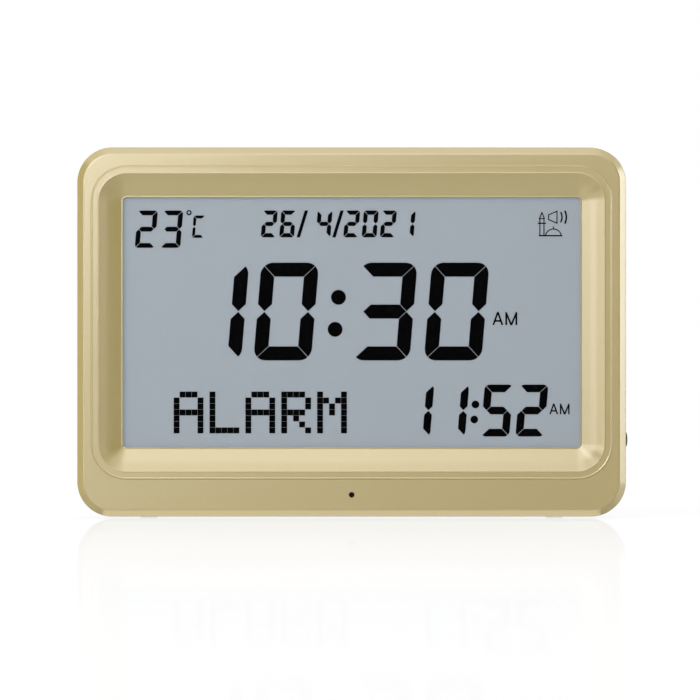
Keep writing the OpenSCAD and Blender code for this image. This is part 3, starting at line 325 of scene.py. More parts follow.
def add(tree, kind, inputs=None, **settings):
    """Adds a node. A socket given as an input is linked, and any other value is set."""
    made = tree.nodes.new(kind)
    for key, value in settings.items():
        setattr(made, key, value)
    for key, value in (inputs or {}).items():
        if isinstance(value, bpy.types.NodeSocket):
            tree.links.new(value, made.inputs[key])
        else:
            made.inputs[key].default_value = value
    return made


def group_tree(name, kind, inputs, outputs):
    """A node group, as (tree, its inputs). An input is given by its default or its kind."""
    kinds = {float: "Float", int: "Int", tuple: "Color"}
    tree = bpy.data.node_groups.new(name, kind)
    for label, value in inputs.items():
        socket = "NodeSocket" + kinds.get(type(value), str(value))
        made = tree.interface.new_socket(label, in_out="INPUT", socket_type=socket)
        if type(value) in kinds:
            made.default_value = value
    for label, value in outputs.items():
        tree.interface.new_socket(label, in_out="OUTPUT", socket_type="NodeSocket" + value)
    return tree, add(tree, "NodeGroupInput").outputs


def calc(tree, operation, *values):
    """The output of one Math node."""
    return add(tree, "ShaderNodeMath", dict(enumerate(values)), operation=operation).outputs[0]


def times(tree, first, second):
    return calc(tree, "MULTIPLY", first, second)


def vector(tree, **axes):
    """A vector from its X, Y and Z."""
    return add(tree, "ShaderNodeCombineXYZ", axes).outputs[0]


def vector_math(tree, operation, inputs):
    """The output of one Vector Math node that gives a vector."""
    return add(tree, "ShaderNodeVectorMath", inputs, operation=operation).outputs[0]


def mapped(tree, value, start, end, low, high, **settings):
    """A value carried from one range to another, and held inside it."""
    return add(tree, "ShaderNodeMapRange", {"Value": value, "From Min": start, "From Max": end,
                                            "To Min": low, "To Max": high}, **settings).outputs[0]


def object_place(tree):
    """The coordinates that every pattern is laid out in."""
    return add(tree, "ShaderNodeTexCoord").outputs["Object"]


def noise(tree, scale, detail):
    return add(tree, "ShaderNodeTexNoise", {"Vector": object_place(tree), "Scale": scale,
                                            "Detail": detail}).outputs["Fac"]


# ---- shader groups

def fine_grain(name):
    """Even grain of moulded and sprayed surfaces: a height and a slow change of tone."""
    tree, entry = group_tree(name, "ShaderNodeTree", {"Size": 0.0004},
                             {"Height": "Float", "Tone": "Float"})
    scale = calc(tree, "DIVIDE", 1.0, entry["Size"])
    add(tree, "NodeGroupOutput", {"Height": noise(tree, scale, 2.0),
                                  "Tone": noise(tree, times(tree, scale, 0.03), 3.0)})
    return tree


def metal_flake(name):
    """Metal flakes in a paint: each cell has its own tone and leans its own way."""
    tree, entry = group_tree(name, "ShaderNodeTree", {"Size": 0.0002, "Lean": 0.03},
                             {"Tone": "Float", "Normal": "Vector"})
    cells = add(tree, "ShaderNodeTexVoronoi",
                {"Vector": object_place(tree),
                 "Scale": calc(tree, "DIVIDE", 1.0, entry["Size"])}).outputs["Color"]
    centred = vector_math(tree, "SUBTRACT", {0: cells, 1: (0.5, 0.5, 0.5)})
    lean = vector_math(tree, "SCALE", {0: centred, "Scale": entry["Lean"]})
    surface = add(tree, "ShaderNodeNewGeometry").outputs["Normal"]
    tilted = vector_math(tree, "ADD", {0: surface, 1: lean})
    add(tree, "NodeGroupOutput",
        {"Tone": add(tree, "ShaderNodeSeparateColor", {0: cells}).outputs[0],
         "Normal": vector_math(tree, "NORMALIZE", {0: tilted})})
    return tree


def handling(name):
    """Slow change of gloss over a surface, between a low and a high roughness."""
    tree, entry = group_tree(name, "ShaderNodeTree", {"Size": 0.02, "Low": 0.35, "High": 0.45},
                             {"Roughness": "Float"})
    patches = noise(tree, calc(tree, "DIVIDE", 1.0, entry["Size"]), 4.0)
    add(tree, "NodeGroupOutput",
        {"Roughness": mapped(tree, patches, 0.3, 0.7, entry["Low"], entry["High"])})
    return tree


def uneven_tint(name):
    """A colour made a little lighter and darker by a tone from 0 to 1."""
    tree, entry = group_tree(name, "ShaderNodeTree",
                             {"Colour": (0.5, 0.5, 0.5, 1.0), "Spread": 0.05, "Tone": 0.5},
                             {"Colour": "Color"})
    centred = calc(tree, "MULTIPLY_ADD", entry["Tone"], 2.0, -1.0)
    factor = calc(tree, "MULTIPLY_ADD", centred, entry["Spread"], 1.0)
    add(tree, "NodeGroupOutput",
        {"Colour": vector_math(tree, "SCALE", {0: entry["Colour"], "Scale": factor})})
    return tree


def use_group(tree, build, **inputs):
    """Places a shader group with its own values. The group is built on its first use."""
    name = build.__name__
    group = bpy.data.node_groups.get(name) or build(name)
    return add(tree, "ShaderNodeGroup", inputs, node_tree=group).outputs


def grain(tree, size):
    return use_group(tree, fine_grain, Size=size)


def gloss(tree, size, low, high):
    return use_group(tree, handling, Size=size, Low=low, High=high)["Roughness"]


def tint(tree, colour, spread, tone):
    return use_group(tree, uneven_tint, Colour=colour, Spread=spread, Tone=tone)["Colour"]


def relief(tree, height, strength, depth, **more):
    """A normal bent by a height."""
    return add(tree, "ShaderNodeBump", {"Strength": strength, "Distance": depth,
                                        "Height": height, **more}).outputs["Normal"]


# ---- finishes
# Each finish gives the inputs of one Principled shader.

def colour_of(name):
    """One of the colour settings, with an alpha."""
    return (*getattr(bpy.context.scene.azan_colours, name), 1.0)


def plain_finish(tree, colour, low, high, size=0.0004, depth=0.00001, spread=0.06,
                 metallic=0.0, specular=0.5, bump=0.3):
    """A moulded or drawn surface: grain in its height and tone, and an uneven gloss."""
    fine = grain(tree, size)
    shade = colour_of(colour) if isinstance(colour, str) else (*colour, 1.0)
    return {"Base Color": tint(tree, shade, spread, fine["Tone"]),
            "Roughness": gloss(tree, 0.015, low, high),
            "Normal": relief(tree, fine["Height"], bump, depth),
            "Metallic": metallic, "Specular IOR Level": specular}


def gold_case(tree):
    """Sprayed champagne paint: flakes under a thin clear layer."""
    flake = use_group(tree, metal_flake, Size=0.00016, Lean=0.05)
    height = grain(tree, 0.0006)["Height"]
    return {"Base Color": tint(tree, colour_of("gold"), 0.035, flake["Tone"]),
            "Roughness": gloss(tree, 0.03, 0.24, 0.268),
            "Normal": relief(tree, height, 0.08, 0.00001, Normal=flake["Normal"]),
            "Metallic": 0.1, "Specular IOR Level": 0.5,
            "Coat Weight": 1.0, "Coat Roughness": 0.34, "Coat IOR": 2.2}


def clear_window(tree):
    """Clear sheet: almost open straight on, and glossier at a slant."""
    slant = add(tree, "ShaderNodeLayerWeight", {"Blend": 0.25}).outputs["Facing"]
    steep = calc(tree, "POWER", slant, 3.0)
    return {"Base Color": (0.02, 0.022, 0.025, 1.0),
            "Alpha": calc(tree, "MULTIPLY_ADD", steep, 0.5, 0.008),
            "Roughness": gloss(tree, 0.04, 0.04, 0.09)}


def lcd_film(tree):
    """Grey-blue polarizer film with a painted glow: it emits its own colour, which stands in for
    light on it.
    """
    field = tint(tree, colour_of("field"), 0.012, grain(tree, 0.00025)["Tone"])
    # The emission is painted light: a glow of the field's own colour that brightens the whole
    # field evenly.
    return {"Base Color": field, "Emission Color": field, "Emission Strength": 0.45,
            "Roughness": gloss(tree, 0.03, 0.55, 0.62), "Specular IOR Level": 0.25}


def clear_silicone(tree):
    """Slightly cloudy silicone, mostly clear."""
    cloud = grain(tree, 0.0006)
    return {"Base Color": colour_of("rubber"), "Roughness": 0.45,
            "Alpha": calc(tree, "MULTIPLY_ADD", cloud["Tone"], 0.08, 0.04),
            "Normal": relief(tree, cloud["Height"], 0.3, 0.00002)}


def light_guide(tree):
    """Clear acrylic with a faint haze."""
    haze = calc(tree, "MULTIPLY_ADD", grain(tree, 0.001)["Tone"], 0.1, 0.45)
    return {"Base Color": (0.82, 0.87, 0.88, 1.0), "Alpha": haze, "Roughness": 0.15}


def circuit_board(tree):
    """Solder mask over a grid of copper traces."""
    upright = add(tree, "ShaderNodeMapping", {"Vector": object_place(tree),
                                              "Rotation": (QUARTER, 0, 0)}).outputs[0]
    board = colour_of("board")
    traces = add(tree, "ShaderNodeTexBrick",
                 {"Vector": upright, "Scale": 120.0, "Mortar Size": 0.06, "Color1": board,
                  "Color2": (*(0.8 * c for c in board[:3]), 1.0),
                  "Mortar": (0.03, 0.16, 0.08, 1.0)})
    return {"Base Color": traces.outputs["Color"], "Roughness": 0.35,
            "Normal": relief(tree, grain(tree, 0.0008)["Height"], 0.2, 0.00002)}


def cell_sleeve(tree):
    """Printed sleeve of a round cell: a dark body with a copper band at one end."""
    band_share = 0.28
    low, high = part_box("aa_cells")
    band_start = high.x - (high.x - low.x) * band_share
    along = add(tree, "ShaderNodeSeparateXYZ", {0: object_place(tree)}).outputs["X"]
    mixed = add(tree, "ShaderNodeMix",
                {0: calc(tree, "GREATER_THAN", along, band_start),
                 6: (0.03, 0.032, 0.036, 1.0), 7: (0.55, 0.27, 0.12, 1.0)},
                data_type="RGBA").outputs[2]
    return {"Base Color": tint(tree, mixed, 0.05, grain(tree, 0.0008)["Tone"]),
            "Metallic": 0.1, "Specular IOR Level": 0.5, "Roughness": 0.3}


# Colour or colour setting, lowest and highest roughness, and what else differs.
PLAIN_FINISHES = {
    "black_cover": ("black", 0.5, 0.6, dict(size=0.0005, depth=0.00006, bump=0.5)),
    "key_black": ("key", 0.4, 0.5, dict(size=0.0003, specular=0.3)),
    "lcd_glass": ((0.45, 0.5, 0.5), 0.1, 0.16, dict(spread=0.02)),
    "lcd_ink": ("ink", 0.6, 0.7, dict(size=0.0003, spread=0.1, specular=0.02, bump=0.05)),
    "ribbon_amber": ((0.42, 0.2, 0.05), 0.25, 0.35, {}),
    "white_film": ((0.8, 0.8, 0.8), 0.4, 0.5, dict(spread=0.02)),
    "holder_nylon": ((0.78, 0.76, 0.7), 0.45, 0.55, dict(spread=0.03)),
    "chip_black": ((0.012, 0.012, 0.013), 0.45, 0.6, {}),
    "bright_steel": ("steel", 0.25, 0.38, dict(metallic=1.0, size=0.0002, spread=0.05)),
    "tinned_steel": ((0.62, 0.62, 0.6), 0.3, 0.45, dict(metallic=1.0)),
    "capacitor_sleeve": ((0.012, 0.03, 0.1), 0.3, 0.4, {}),
    "ferrite": ((0.03, 0.03, 0.032), 0.6, 0.8, dict(size=0.0006, depth=0.00004)),
    "paper_cone": ((0.016, 0.015, 0.015), 0.75, 0.9, dict(size=0.0005, depth=0.00008, bump=0.6)),
    "foam_gasket": ((0.025, 0.025, 0.026), 0.85, 0.95, dict(size=0.0006, depth=0.0001, bump=0.7)),
    "lead_sleeve": ((0.35, 0.02, 0.015), 0.35, 0.45, {}),
    "smoked_lens": ((0.002, 0.0015, 0.0015), 0.3, 0.4, dict(spread=0.02, specular=0.1)),
    "legend_print": ("legend", 0.5, 0.6, dict(spread=0.03)),
}
SPECIAL_FINISHES = {
    "gold_case": gold_case, "clear_window": clear_window, "lcd_film": lcd_film,
    "light_guide": light_guide, "foot_rubber": clear_silicone, "board_green": circuit_board,
    "cell_sleeve": cell_sleeve,
}


def new_material(name):
    """A material with an empty node tree, as (material, tree)."""
    material = bpy.data.materials.new(name)
    material.use_nodes = True
    material.node_tree.nodes.clear()
    return material, material.node_tree


def finish(name):
    """The material of a finish, made when it is first asked for."""
    if name in bpy.data.materials and bpy.data.materials[name].get("azan_finish"):
        return bpy.data.materials[name]
    for old in [m for m in bpy.data.materials if m.name == name]:
        old.name = name + "_cad"
    material, tree = new_material(name)
    if name in SPECIAL_FINISHES:
        inputs = SPECIAL_FINISHES[name](tree)
    else:
        colour, low, high, more = PLAIN_FINISHES[name]
        inputs = plain_finish(tree, colour, low, high, **more)
    shader = add(tree, "ShaderNodeBsdfPrincipled", inputs)
    add(tree, "ShaderNodeOutputMaterial", {"Surface": shader.outputs["BSDF"]})
    material["azan_finish"] = True
    return material


# ---- front shell

def shell_rings(sizes):
    """Rings of the front shell's closed cross-section, from the parting line round to it."""
    low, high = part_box("front_frame")
    half_w = (high.x - low.x) / 2 - sizes.draft
    half_h = (high.z - low.z) / 2 - sizes.draft
    mid_z = middle("front_frame")[2]
    radius = sizes.corner - sizes.draft
    pane_low, pane_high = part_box("display_window")
    window_w = (pane_high.x - pane_low.x) / 2 - sizes.glazing
    window_h = (pane_high.z - pane_low.z) / 2 - sizes.glazing
    window_z = middle("display_window")[2]
    front = low.y
    parting = high.y
    face = front + sizes.rim_height
    slope_end = front + sizes.slope_depth
    window = pane_low.y
    inner_face = face + sizes.wall

    def ring(shape, out, depth):
        width, height, corner, z = shape
        outline = rounded_outline(width + out, height + out, corner + out, sizes.corner_steps)
        return level_ring(outline, depth, 0.0, z)

    def case_ring(point):
        return ring((half_w, half_h, radius, mid_z), -point[0], point[1])

    def window_ring(point):
        return ring((window_w, window_h, sizes.window_corner, window_z), *point)

    far = 10 * MM
    parting_round = 0.3 * MM
    bevel_round = 0.9 * MM
    outside = filleted([
        (sizes.wall + far, parting, 0), (sizes.wall, parting, 0),
        (-sizes.draft, parting, parting_round), (0, face + sizes.bevel, bevel_round),
        (sizes.bevel, face, sizes.face_round), (sizes.bevel + far, face, 0)])

    foot_round = 0.1 * MM
    bead_round = 0.2 * MM
    slope_round = 30 * MM
    slope_middle = (sizes.slope_width * 0.55,
                    front + sizes.slope_depth * 0.45 + sizes.slope_sag, slope_round)
    rim_out = sizes.slope_width + sizes.rim_width
    bead_out = rim_out - sizes.rim_edge
    bead_in = sizes.slope_width
    bead_top = sizes.bead * 0.4
    channel = front + sizes.bead_height
    rim = filleted([
        (rim_out + far, face, 0), (rim_out, face, foot_round), (bead_out, front, bead_round),
        (bead_out - bead_top, front, bead_round), (bead_out - sizes.bead, channel, bead_round),
        (bead_in + sizes.bead, channel, bead_round), (bead_in + bead_top, front, bead_round),
        (bead_in, front, bead_round), slope_middle])
    slope = filleted([(bead_in, front, 0), slope_middle, (sizes.lip, slope_end, 0)], 8)

    lip_top = slope_end - sizes.lip_height
    lip_round = 0.08 * MM
    edge = filleted([
        slope_middle, (sizes.lip, slope_end, foot_round), (sizes.lip * 0.65, lip_top, foot_round),
        (0, lip_top, lip_round), (0, window, 0), (far, window, 0)])
    back = sizes.glazing + 0.2 * MM
    behind_slope = slope_end + 0.05 * MM
    behind = [Vector((back, window)), Vector((back, behind_slope)),
              Vector((sizes.slope_width - back, inner_face))]
    return ([case_ring(p) for p in outside] + [window_ring(p) for p in rim + slope + edge + behind]
            + [case_ring((sizes.wall, inner_face))])


def shell_holes(sizes):
    """What is cut out of the front shell, for the side button, the sensor and the feet."""
    button_bore = 3.35 * MM
    sensor_bore = 1.15 * MM
    pad_bore = 3.55 * MM
    pad_radius = 3.5 * MM
    flare = 0.22 * MM
    depth = 4 * MM
    low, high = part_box("front_frame")
    face = low.y + sizes.rim_height
    holes = bmesh.new()

    _, button_y, button_z = middle("side_button")
    wall_x = high.x - sizes.draft * (high.y - button_y) / (high.y - (face + sizes.bevel))
    turned(holes, [(button_bore, wall_x - depth), (button_bore, wall_x - flare),
                   (button_bore + flare, wall_x), (button_bore + 3 * flare, wall_x + 2 * flare)],
           along_x(0, button_y, button_z))
    turned(holes, [(sensor_bore + 3 * flare, face - 2 * flare), (sensor_bore + flare, face),
                   (sensor_bore, face + flare), (sensor_bore, face + depth)],
           along_y(0, 0, middle("sensor_lens")[2]))
    pads_low, pads_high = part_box("foot_pads")
    for side in (-1, 1):
        place = Matrix.Translation((side * (pads_high.x - pad_radius), pads_low.y + pad_radius, 0))
        turned(holes, [(pad_bore, -1 * MM), (pad_bore, pads_high.z)], place)
    return mesh_object(holes, "shell_holes")


class AZAN_OT_front_shell(bpy.types.Operator):
    """Build the champagne front shell with its bevel, rim, slope and holes"""
    bl_idname = "azan_clock.front_shell"
    bl_label = "Front shell"

    def execute(self, context):
        sizes = context.scene.azan_shell
        bm = bmesh.new()
        skin(bm, shell_rings(sizes), closed=True)
        shell = cut(mesh_object(bm, "front_shell"), shell_holes(sizes))
        finished(smoothed(shell), "gold_case", CASE_BODY, "front_frame")
        return {"FINISHED"}


class AZAN_OT_side_button(bpy.types.Operator):
    """Build the side button: a full dome on a round cap with a collar and a stem"""
    bl_idname = "azan_clock.side_button"
    bl_label = "Side button"

    def execute(self, context):
        sizes = context.scene.azan_shell
        low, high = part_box("side_button")
        collar_radius = (high.z - low.z) / 2
        radius = collar_radius - sizes.collar
        collar_top = high.x - sizes.button_depth
        profile = [(sizes.stem_radius, low.x), (sizes.stem_radius, collar_top - sizes.collar),
                   (collar_radius, collar_top - sizes.collar), (collar_radius, collar_top),
                   (radius, collar_top)]
        steps = 14
        for i in range(steps):
            angle = QUARTER * i / steps
            profile.append((radius * math.cos(angle),
                            high.x - sizes.dome * (1 - math.sin(angle))))
        tip_radius = radius * 0.01
        profile.append((tip_radius, high.x))
        bm = bmesh.new()
        _, button_y, button_z = middle("side_button")
        turned(bm, profile, along_x(0, button_y, button_z), 64)
        button = smoothed(mesh_object(bm, "side_button_cap"))
        finished(button, "key_black", "side_key", "side_button")
        return {"FINISHED"}


# ---- back

class AZAN_OT_rear_cover(bpy.types.Operator):
    """Build the rear cover with rounded edges around its recesses, grille and holes"""
    bl_idname = "azan_clock.rear_cover"
    bl_label = "Rear cover"

    def execute(self, context):
        cover = softened("rear_cover", "rear_shell", context.scene.azan_rear.edge)
        finished(smoothed(cover), "black_cover", CASE_BODY, "rear_cover")
        return {"FINISHED"}


class AZAN_OT_battery_door(bpy.types.Operator):
    """Build the sliding battery door with its grip grooves and a cut arrow"""
    bl_idname = "azan_clock.battery_door"
    bl_label = "Battery door"

    def execute(self, context):
        door_edge = 0.2 * MM
        arrow_inset = 29 * MM
        arrow_length = 4.5 * MM
        arrow_half = 3.2 * MM
        arrow_depth = 0.35 * MM
        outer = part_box("battery_door")[1]
        middle_z = middle("battery_door")[2]
        tip_x = outer.x - arrow_inset
        outline = [(tip_x, middle_z), (tip_x - arrow_length, middle_z + arrow_half),
                   (tip_x - arrow_length, middle_z - arrow_half)]
        door = softened("battery_door", "sliding_door", door_edge)
        arrow = bmesh.new()
        skin(arrow, [level_ring(outline, outer.y - arrow_depth),
                     level_ring(outline, outer.y + arrow_depth)])
        cut(door, mesh_object(arrow, "arrow"))
        finished(smoothed(door), "black_cover", "door", "battery_door")
        return {"FINISHED"}


def modifier_tree(name, sizes):
    """A geometry node group with a geometry, sizes and a material, as (tree, its inputs)."""
    tree, entry = group_tree(name, "GeometryNodeTree",
                             {"Geometry": "Geometry", **sizes, "Material": "Material"},
                             {"Geometry": "Geometry"})
    tree.is_modifier = True
    return tree, entry


def instanced(tree, points, instance, material, rotation=(0, 0, 0), twist=None):
    """Ends a geometry tree: a solid on each point, made real and painted."""
    made = add(tree, "GeometryNodeInstanceOnPoints",
               {"Points": points, "Instance": instance, "Rotation": rotation}).outputs[0]
    if twist:
        made = add(tree, "GeometryNodeRotateInstances",
                   {"Instances": made, "Rotation": twist, "Local Space": True}).outputs[0]
    real = add(tree, "GeometryNodeRealizeInstances", {0: made}).outputs[0]
    painted = add(tree, "GeometryNodeSetMaterial", {"Geometry": real, "Material": material})
    add(tree, "NodeGroupOutput", {"Geometry": painted.outputs[0]})
    return tree


def shifted(tree, mesh, z, scale=(1, 1, 1)):
    """A geometry moved along Z and scaled."""
    return add(tree, "GeometryNodeTransform", {"Geometry": mesh, "Translation": vector(tree, Z=z),
                                               "Scale": scale}).outputs[0]


def combined(tree, operation, meshes, base=None):
    """Solids joined by one boolean."""
    made = add(tree, "GeometryNodeMeshBoolean", operation=operation, solver="EXACT")
    if base is not None:
        tree.links.new(base, made.inputs["Mesh 1"])
    for mesh in meshes:
        tree.links.new(mesh, made.inputs["Mesh 2"])
    return made.outputs[0]


def cylinder(tree, sides, radius, depth):
    return add(tree, "GeometryNodeMeshCylinder",
               {"Vertices": sides, "Radius": radius, "Depth": depth}).outputs["Mesh"]


def ball(tree, segments, radius):
    return add(tree, "GeometryNodeMeshUVSphere",
               {"Segments": segments, "Rings": segments // 2, "Radius": radius}).outputs["Mesh"]


def rib_tree():
    """Half-sunk round ribs side by side."""
    tree, entry = modifier_tree("ribs", {"Count": 6, "Pitch": 0.005, "Radius": 0.0005,
                                         "Length": 0.05})
    spans = calc(tree, "SUBTRACT", entry["Count"], 1.0)
    start = times(tree, times(tree, spans, entry["Pitch"]), -0.5)
    line = add(tree, "GeometryNodeMeshLine",
               {"Count": entry["Count"], "Start Location": vector(tree, X=start),
                "Offset": vector(tree, X=entry["Pitch"])}).outputs[0]
    sides = 20
    half = times(tree, entry["Length"], 0.5)
    end = ball(tree, sides, entry["Radius"])
    rib = combined(tree, "UNION", [cylinder(tree, sides, entry["Radius"], entry["Length"]),
                                   shifted(tree, end, half),
                                   shifted(tree, end, times(tree, half, -1.0))])
    return instanced(tree, line, rib, entry["Material"])


def grown(name, tree, points, **values):
    """An object made by a geometry tree from points, turned into a plain mesh."""
    mesh = bpy.data.meshes.new(name)
    mesh.from_pydata([tuple(p) for p in points], [], [])
    made = linked(name, mesh)
    modifier = made.modifiers.new("grow", "NODES")
    modifier.node_group = tree
    sockets = {item.name: item.identifier for item in tree.interface.items_tree
               if item.in_out == "INPUT"}
    for label, value in values.items():
        modifier[sockets[label]] = value
    return applied(made)


class AZAN_OT_stand_leg(bpy.types.Operator):
    """Build the folding leg with the ribs in its panel"""
    bl_idname = "azan_clock.stand_leg"
    bl_label = "Folding leg"

    def execute(self, context):
        leg_edge = 0.35 * MM
        rib_sink = 0.6 * MM
        panel_mid_z = 46.5 * MM
        rib_length = 52 * MM
        sizes = context.scene.azan_rear
        leg = softened("stand_leg", "folding_leg", leg_edge, segments=3)
        finished(smoothed(leg), "black_cover", "leg", "stand_leg")
        ribs = grown("leg_ribs", rib_tree(), [(0, 0, 0)], Count=sizes.rib_count,
                     Pitch=sizes.rib_pitch, Radius=sizes.rib_radius, Length=rib_length,
                     Material=finish("black_cover"))
        panel_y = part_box("stand_leg")[1].y - rib_sink
        ribs.data.transform(Matrix.Translation((0, panel_y, panel_mid_z)))
        finished(smoothed(ribs, 40), "black_cover", "leg")
        return {"FINISHED"}


def key_rings(node, sizes):
    """Rings of a rear key from the back of its lip to the dished top."""
    low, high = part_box(node)
    centre_x, _, centre_z = middle(node)
    lip = 1.2 * MM
    lip_front = low.y + 0.9 * MM
    corner = 1.8 * MM
    half_w = (high.x - low.x) / 2 - lip
    half_h = (high.z - low.z) / 2 - lip
    edge = sizes.key_edge
    steps = 6
    shapes = [(half_w + lip, half_h + lip, corner + lip, low.y),
              (half_w + lip, half_h + lip, corner + lip, lip_front),
              (half_w, half_h, corner, lip_front)]
    for step in range(steps + 1):
        angle = QUARTER * step / steps
        inset = edge * (1 - math.cos(angle))
        shapes.append((half_w - inset, half_h - inset, corner - inset,
                       high.y - edge * (1 - math.sin(angle))))
    for share in (0.9, 0.75, 0.55, 0.3, 0.1):
        depth = sizes.key_dish * (1 - share ** 2)
        shapes.append(((half_w - edge) * share, (half_h - edge) * share,
                       (corner - edge) * share, high.y - depth))
    return [level_ring(rounded_outline(w, h, r, 10), y, centre_x, centre_z)
            for w, h, r, y in shapes]


class AZAN_OT_rear_keys(bpy.types.Operator):
    """Build the five rear keys, each with a dished top and a lip"""
    bl_idname = "azan_clock.rear_keys"
    bl_label = "Rear keys"

    def execute(self, context):
        for node in KEYS:
            bm = bmesh.new()
            skin(bm, key_rings(node, context.scene.azan_rear))
            key = smoothed(mesh_object(bm, node + "_cap"))
            body = node.removeprefix("key_") + "_key"
            finished(key, "key_black", body, node)
        return {"FINISHED"}


class AZAN_OT_key_legends(bpy.types.Operator):
    """Print a plain word above each rear key"""
    bl_idname = "azan_clock.key_legends"
    bl_label = "Key legends"

    def execute(self, context):
        recess_depth = 1.4 * MM
        print_height = 0.02 * MM
        gap = 0.55 * MM
        letter_share = 1.4
        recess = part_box("key_mode")[1].y - recess_depth
        seen_from_behind = Matrix(((-1, 0, 0), (0, 0, 1), (0, 1, 0))).to_4x4()
        for node, word in KEYS.items():
            text = bpy.data.curves.new("legend", "FONT")
            text.body = word
            text.size = context.scene.azan_rear.legend * letter_share
            text.align_x = "CENTER"
            text.extrude = print_height
            source = linked("legend", text)
            mesh = evaluated_mesh(source)
            bpy.data.objects.remove(source)
            place = Matrix.Translation((middle(node)[0], recess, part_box(node)[1].z + gap))
            mesh.transform(place @ seen_from_behind)
            letters = bmesh.new()
            letters.from_mesh(mesh)
            finished(mesh_object(letters, node.replace("key", "legend")), "white_film",
                     CASE_BODY, look="legend_print")
        return {"FINISHED"}


def screw_tree():
    """Pan-head screws with a cross recess on points, their heads towards +Y."""
    tree, entry = modifier_tree("case screws", {"Head Radius": 0.0028, "Head Height": 0.0018,
                                                "Shank Radius": 0.0014, "Length": 0.016,
                                                "Seed": 4})
    radius = entry["Head Radius"]
    height = entry["Head Height"]
    wide = times(tree, radius, 1.12)
    dome = shifted(tree, ball(tree, 40, 1.0), 0.0, vector(tree, X=wide, Y=wide, Z=height))
    drum = shifted(tree, cylinder(tree, 40, radius, times(tree, height, 2.0)), height)
    head = combined(tree, "INTERSECT", [dome, drum])

    slot_length = times(tree, radius, 1.15)
    slot_width = times(tree, radius, 0.28)
    slot_depth = times(tree, height, 1.2)
    slots = []
    for x, y in ((slot_length, slot_width), (slot_width, slot_length)):
        box = add(tree, "GeometryNodeMeshCube", {"Size": vector(tree, X=x, Y=y, Z=slot_depth)})
        slots.append(shifted(tree, box.outputs["Mesh"], height))
    recessed = combined(tree, "DIFFERENCE", slots, head)

    depth = calc(tree, "ADD", entry["Length"], times(tree, height, 0.2))
    shank = cylinder(tree, 24, entry["Shank Radius"], depth)
    sunk = shifted(tree, shank, times(tree, entry["Length"], -0.5))
    turn = add(tree, "FunctionNodeRandomValue", {2: 0.0, 3: math.pi, "Seed": entry["Seed"]},
               data_type="FLOAT").outputs[1]
    return instanced(tree, entry["Geometry"], combined(tree, "UNION", [recessed, sunk]),
                     entry["Material"], (-QUARTER, 0, 0), vector(tree, Z=turn))


class AZAN_OT_case_screws(bpy.types.Operator):
    """Put a cross-recessed screw in each of the six wells of the rear cover"""
    bl_idname = "azan_clock.case_screws"
    bl_label = "Case screws"

    def execute(self, context):
        corner_inset = 2 * MM
        sizes = context.scene.azan_rear
        low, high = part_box("case_screws")
        side_x = high.x - sizes.screw_head
        seat_y = high.y - sizes.screw_height
        places = [(side * side_x, seat_y, middle("display_window")[2]) for side in (-1, 1)]
        for side in (-1, 1):
            for z in (low.z + sizes.screw_head, high.z - sizes.screw_head):
                places.append((side * (side_x - corner_inset), seat_y, z))
        screws = grown("recessed_screws", screw_tree(), places,
                       **{"Head Radius": sizes.screw_head, "Head Height": sizes.screw_height,
                          "Length": seat_y - low.y, "Material": finish("bright_steel")})
        finished(smoothed(screws, 32), "bright_steel", CASE_BODY, "case_screws")
        return {"FINISHED"}


class AZAN_OT_inlet(bpy.types.Operator):
    """Round the edges of the low-voltage inlet and of the foot pads"""
    bl_idname = "azan_clock.inlet"
    bl_label = "Inlet and feet"

    def execute(self, context):
        inlet_edge = 0.2 * MM
        pad_edge = 0.3 * MM
        inlet = softened("dc_jack", "power_inlet", inlet_edge)
        finished(smoothed(inlet), "chip_black", CASE_BODY, "dc_jack")
        feet = softened("foot_pads", "rubber_feet", pad_edge, segments=3)
        finished(smoothed(feet), "foot_rubber", CASE_BODY, "foot_pads")
        return {"FINISHED"}


class AZAN_OT_finishes(bpy.types.Operator):
    """Give every part that keeps its own shape the finish that its slot names"""
    bl_idname = "azan_clock.finishes"
    bl_label = "Finishes"

    def execute(self, context):
        for node in NODES.values():
            for slot in node.material_slots:
                slot.material = finish(slot.material.name.removesuffix("_cad"))
        return {"FINISHED"}


# ---- stage

PHOTO_SIZE = 700
CASE_LEFT_PX = 77.2
CASE_RIGHT_PX = 626.0
CASE_TOP_PX = 146.8
CASE_BOTTOM_PX = 517.1
SENSOR_WIDTH = 36.0
WHITE = (1.0, 1.0, 1.0, 1.0)
# Width, height and place of the lamps before and beside the clock, aimed at its middle.
LAMPS = {
    "key": (0.35, 0.35, (-0.34, -1.39, 0.36)),
    "broad": (0.8, 0.8, (-0.75, -1.08, 0.85)),
    "front": (1.2, 1.2, (0.3, -2.0, 1.1)),
    "left": (0.6, 0.6, (-1.25, -0.83, 0.25)),
    "top": (0.6, 0.6, (-0.1, -0.83, 1.35)),
    "high": (1.0, 0.4, (0, -0.15, 1.3)),
    "strip": (0.25, 0.6, (0.78, -0.08, 0.15)),
    "side": (0.25, 0.6, (-0.75, 0.08, 0.15)),
}
REAR_LAMP = (0.6, 0.6, (0.5, 1.1, 0.9))


def lamp(name, watts, width, height, place, aim):
    """A rectangular soft lamp at a place, turned towards a point."""
    data = bpy.data.lights.new(name, "AREA")
    data.shape = "RECTANGLE"
    data.energy = watts
    data.size = width
    data.size_y = height
    made = linked(name, data)
    made.location = place
    made.rotation_euler = (Vector(aim) - Vector(place)).to_track_quat("-Z", "Y").to_euler()
    made.visible_camera = False
    return made


def seen_rays(tree):
    """1 for rays that come from the camera, or through a mirror or clear surface."""
    path = add(tree, "ShaderNodeLightPath").outputs
    direct = calc(tree, "MAXIMUM", path["Is Camera Ray"], path["Is Glossy Ray"])
    return calc(tree, "MAXIMUM", direct, path["Is Transmission Ray"])


def diffuse(tree, colour):
    return add(tree, "ShaderNodeBsdfDiffuse", {"Color": colour}).outputs[0]


def mix(tree, factor, first, second):
    return add(tree, "ShaderNodeMixShader", {0: factor, 1: first, 2: second}).outputs[0]


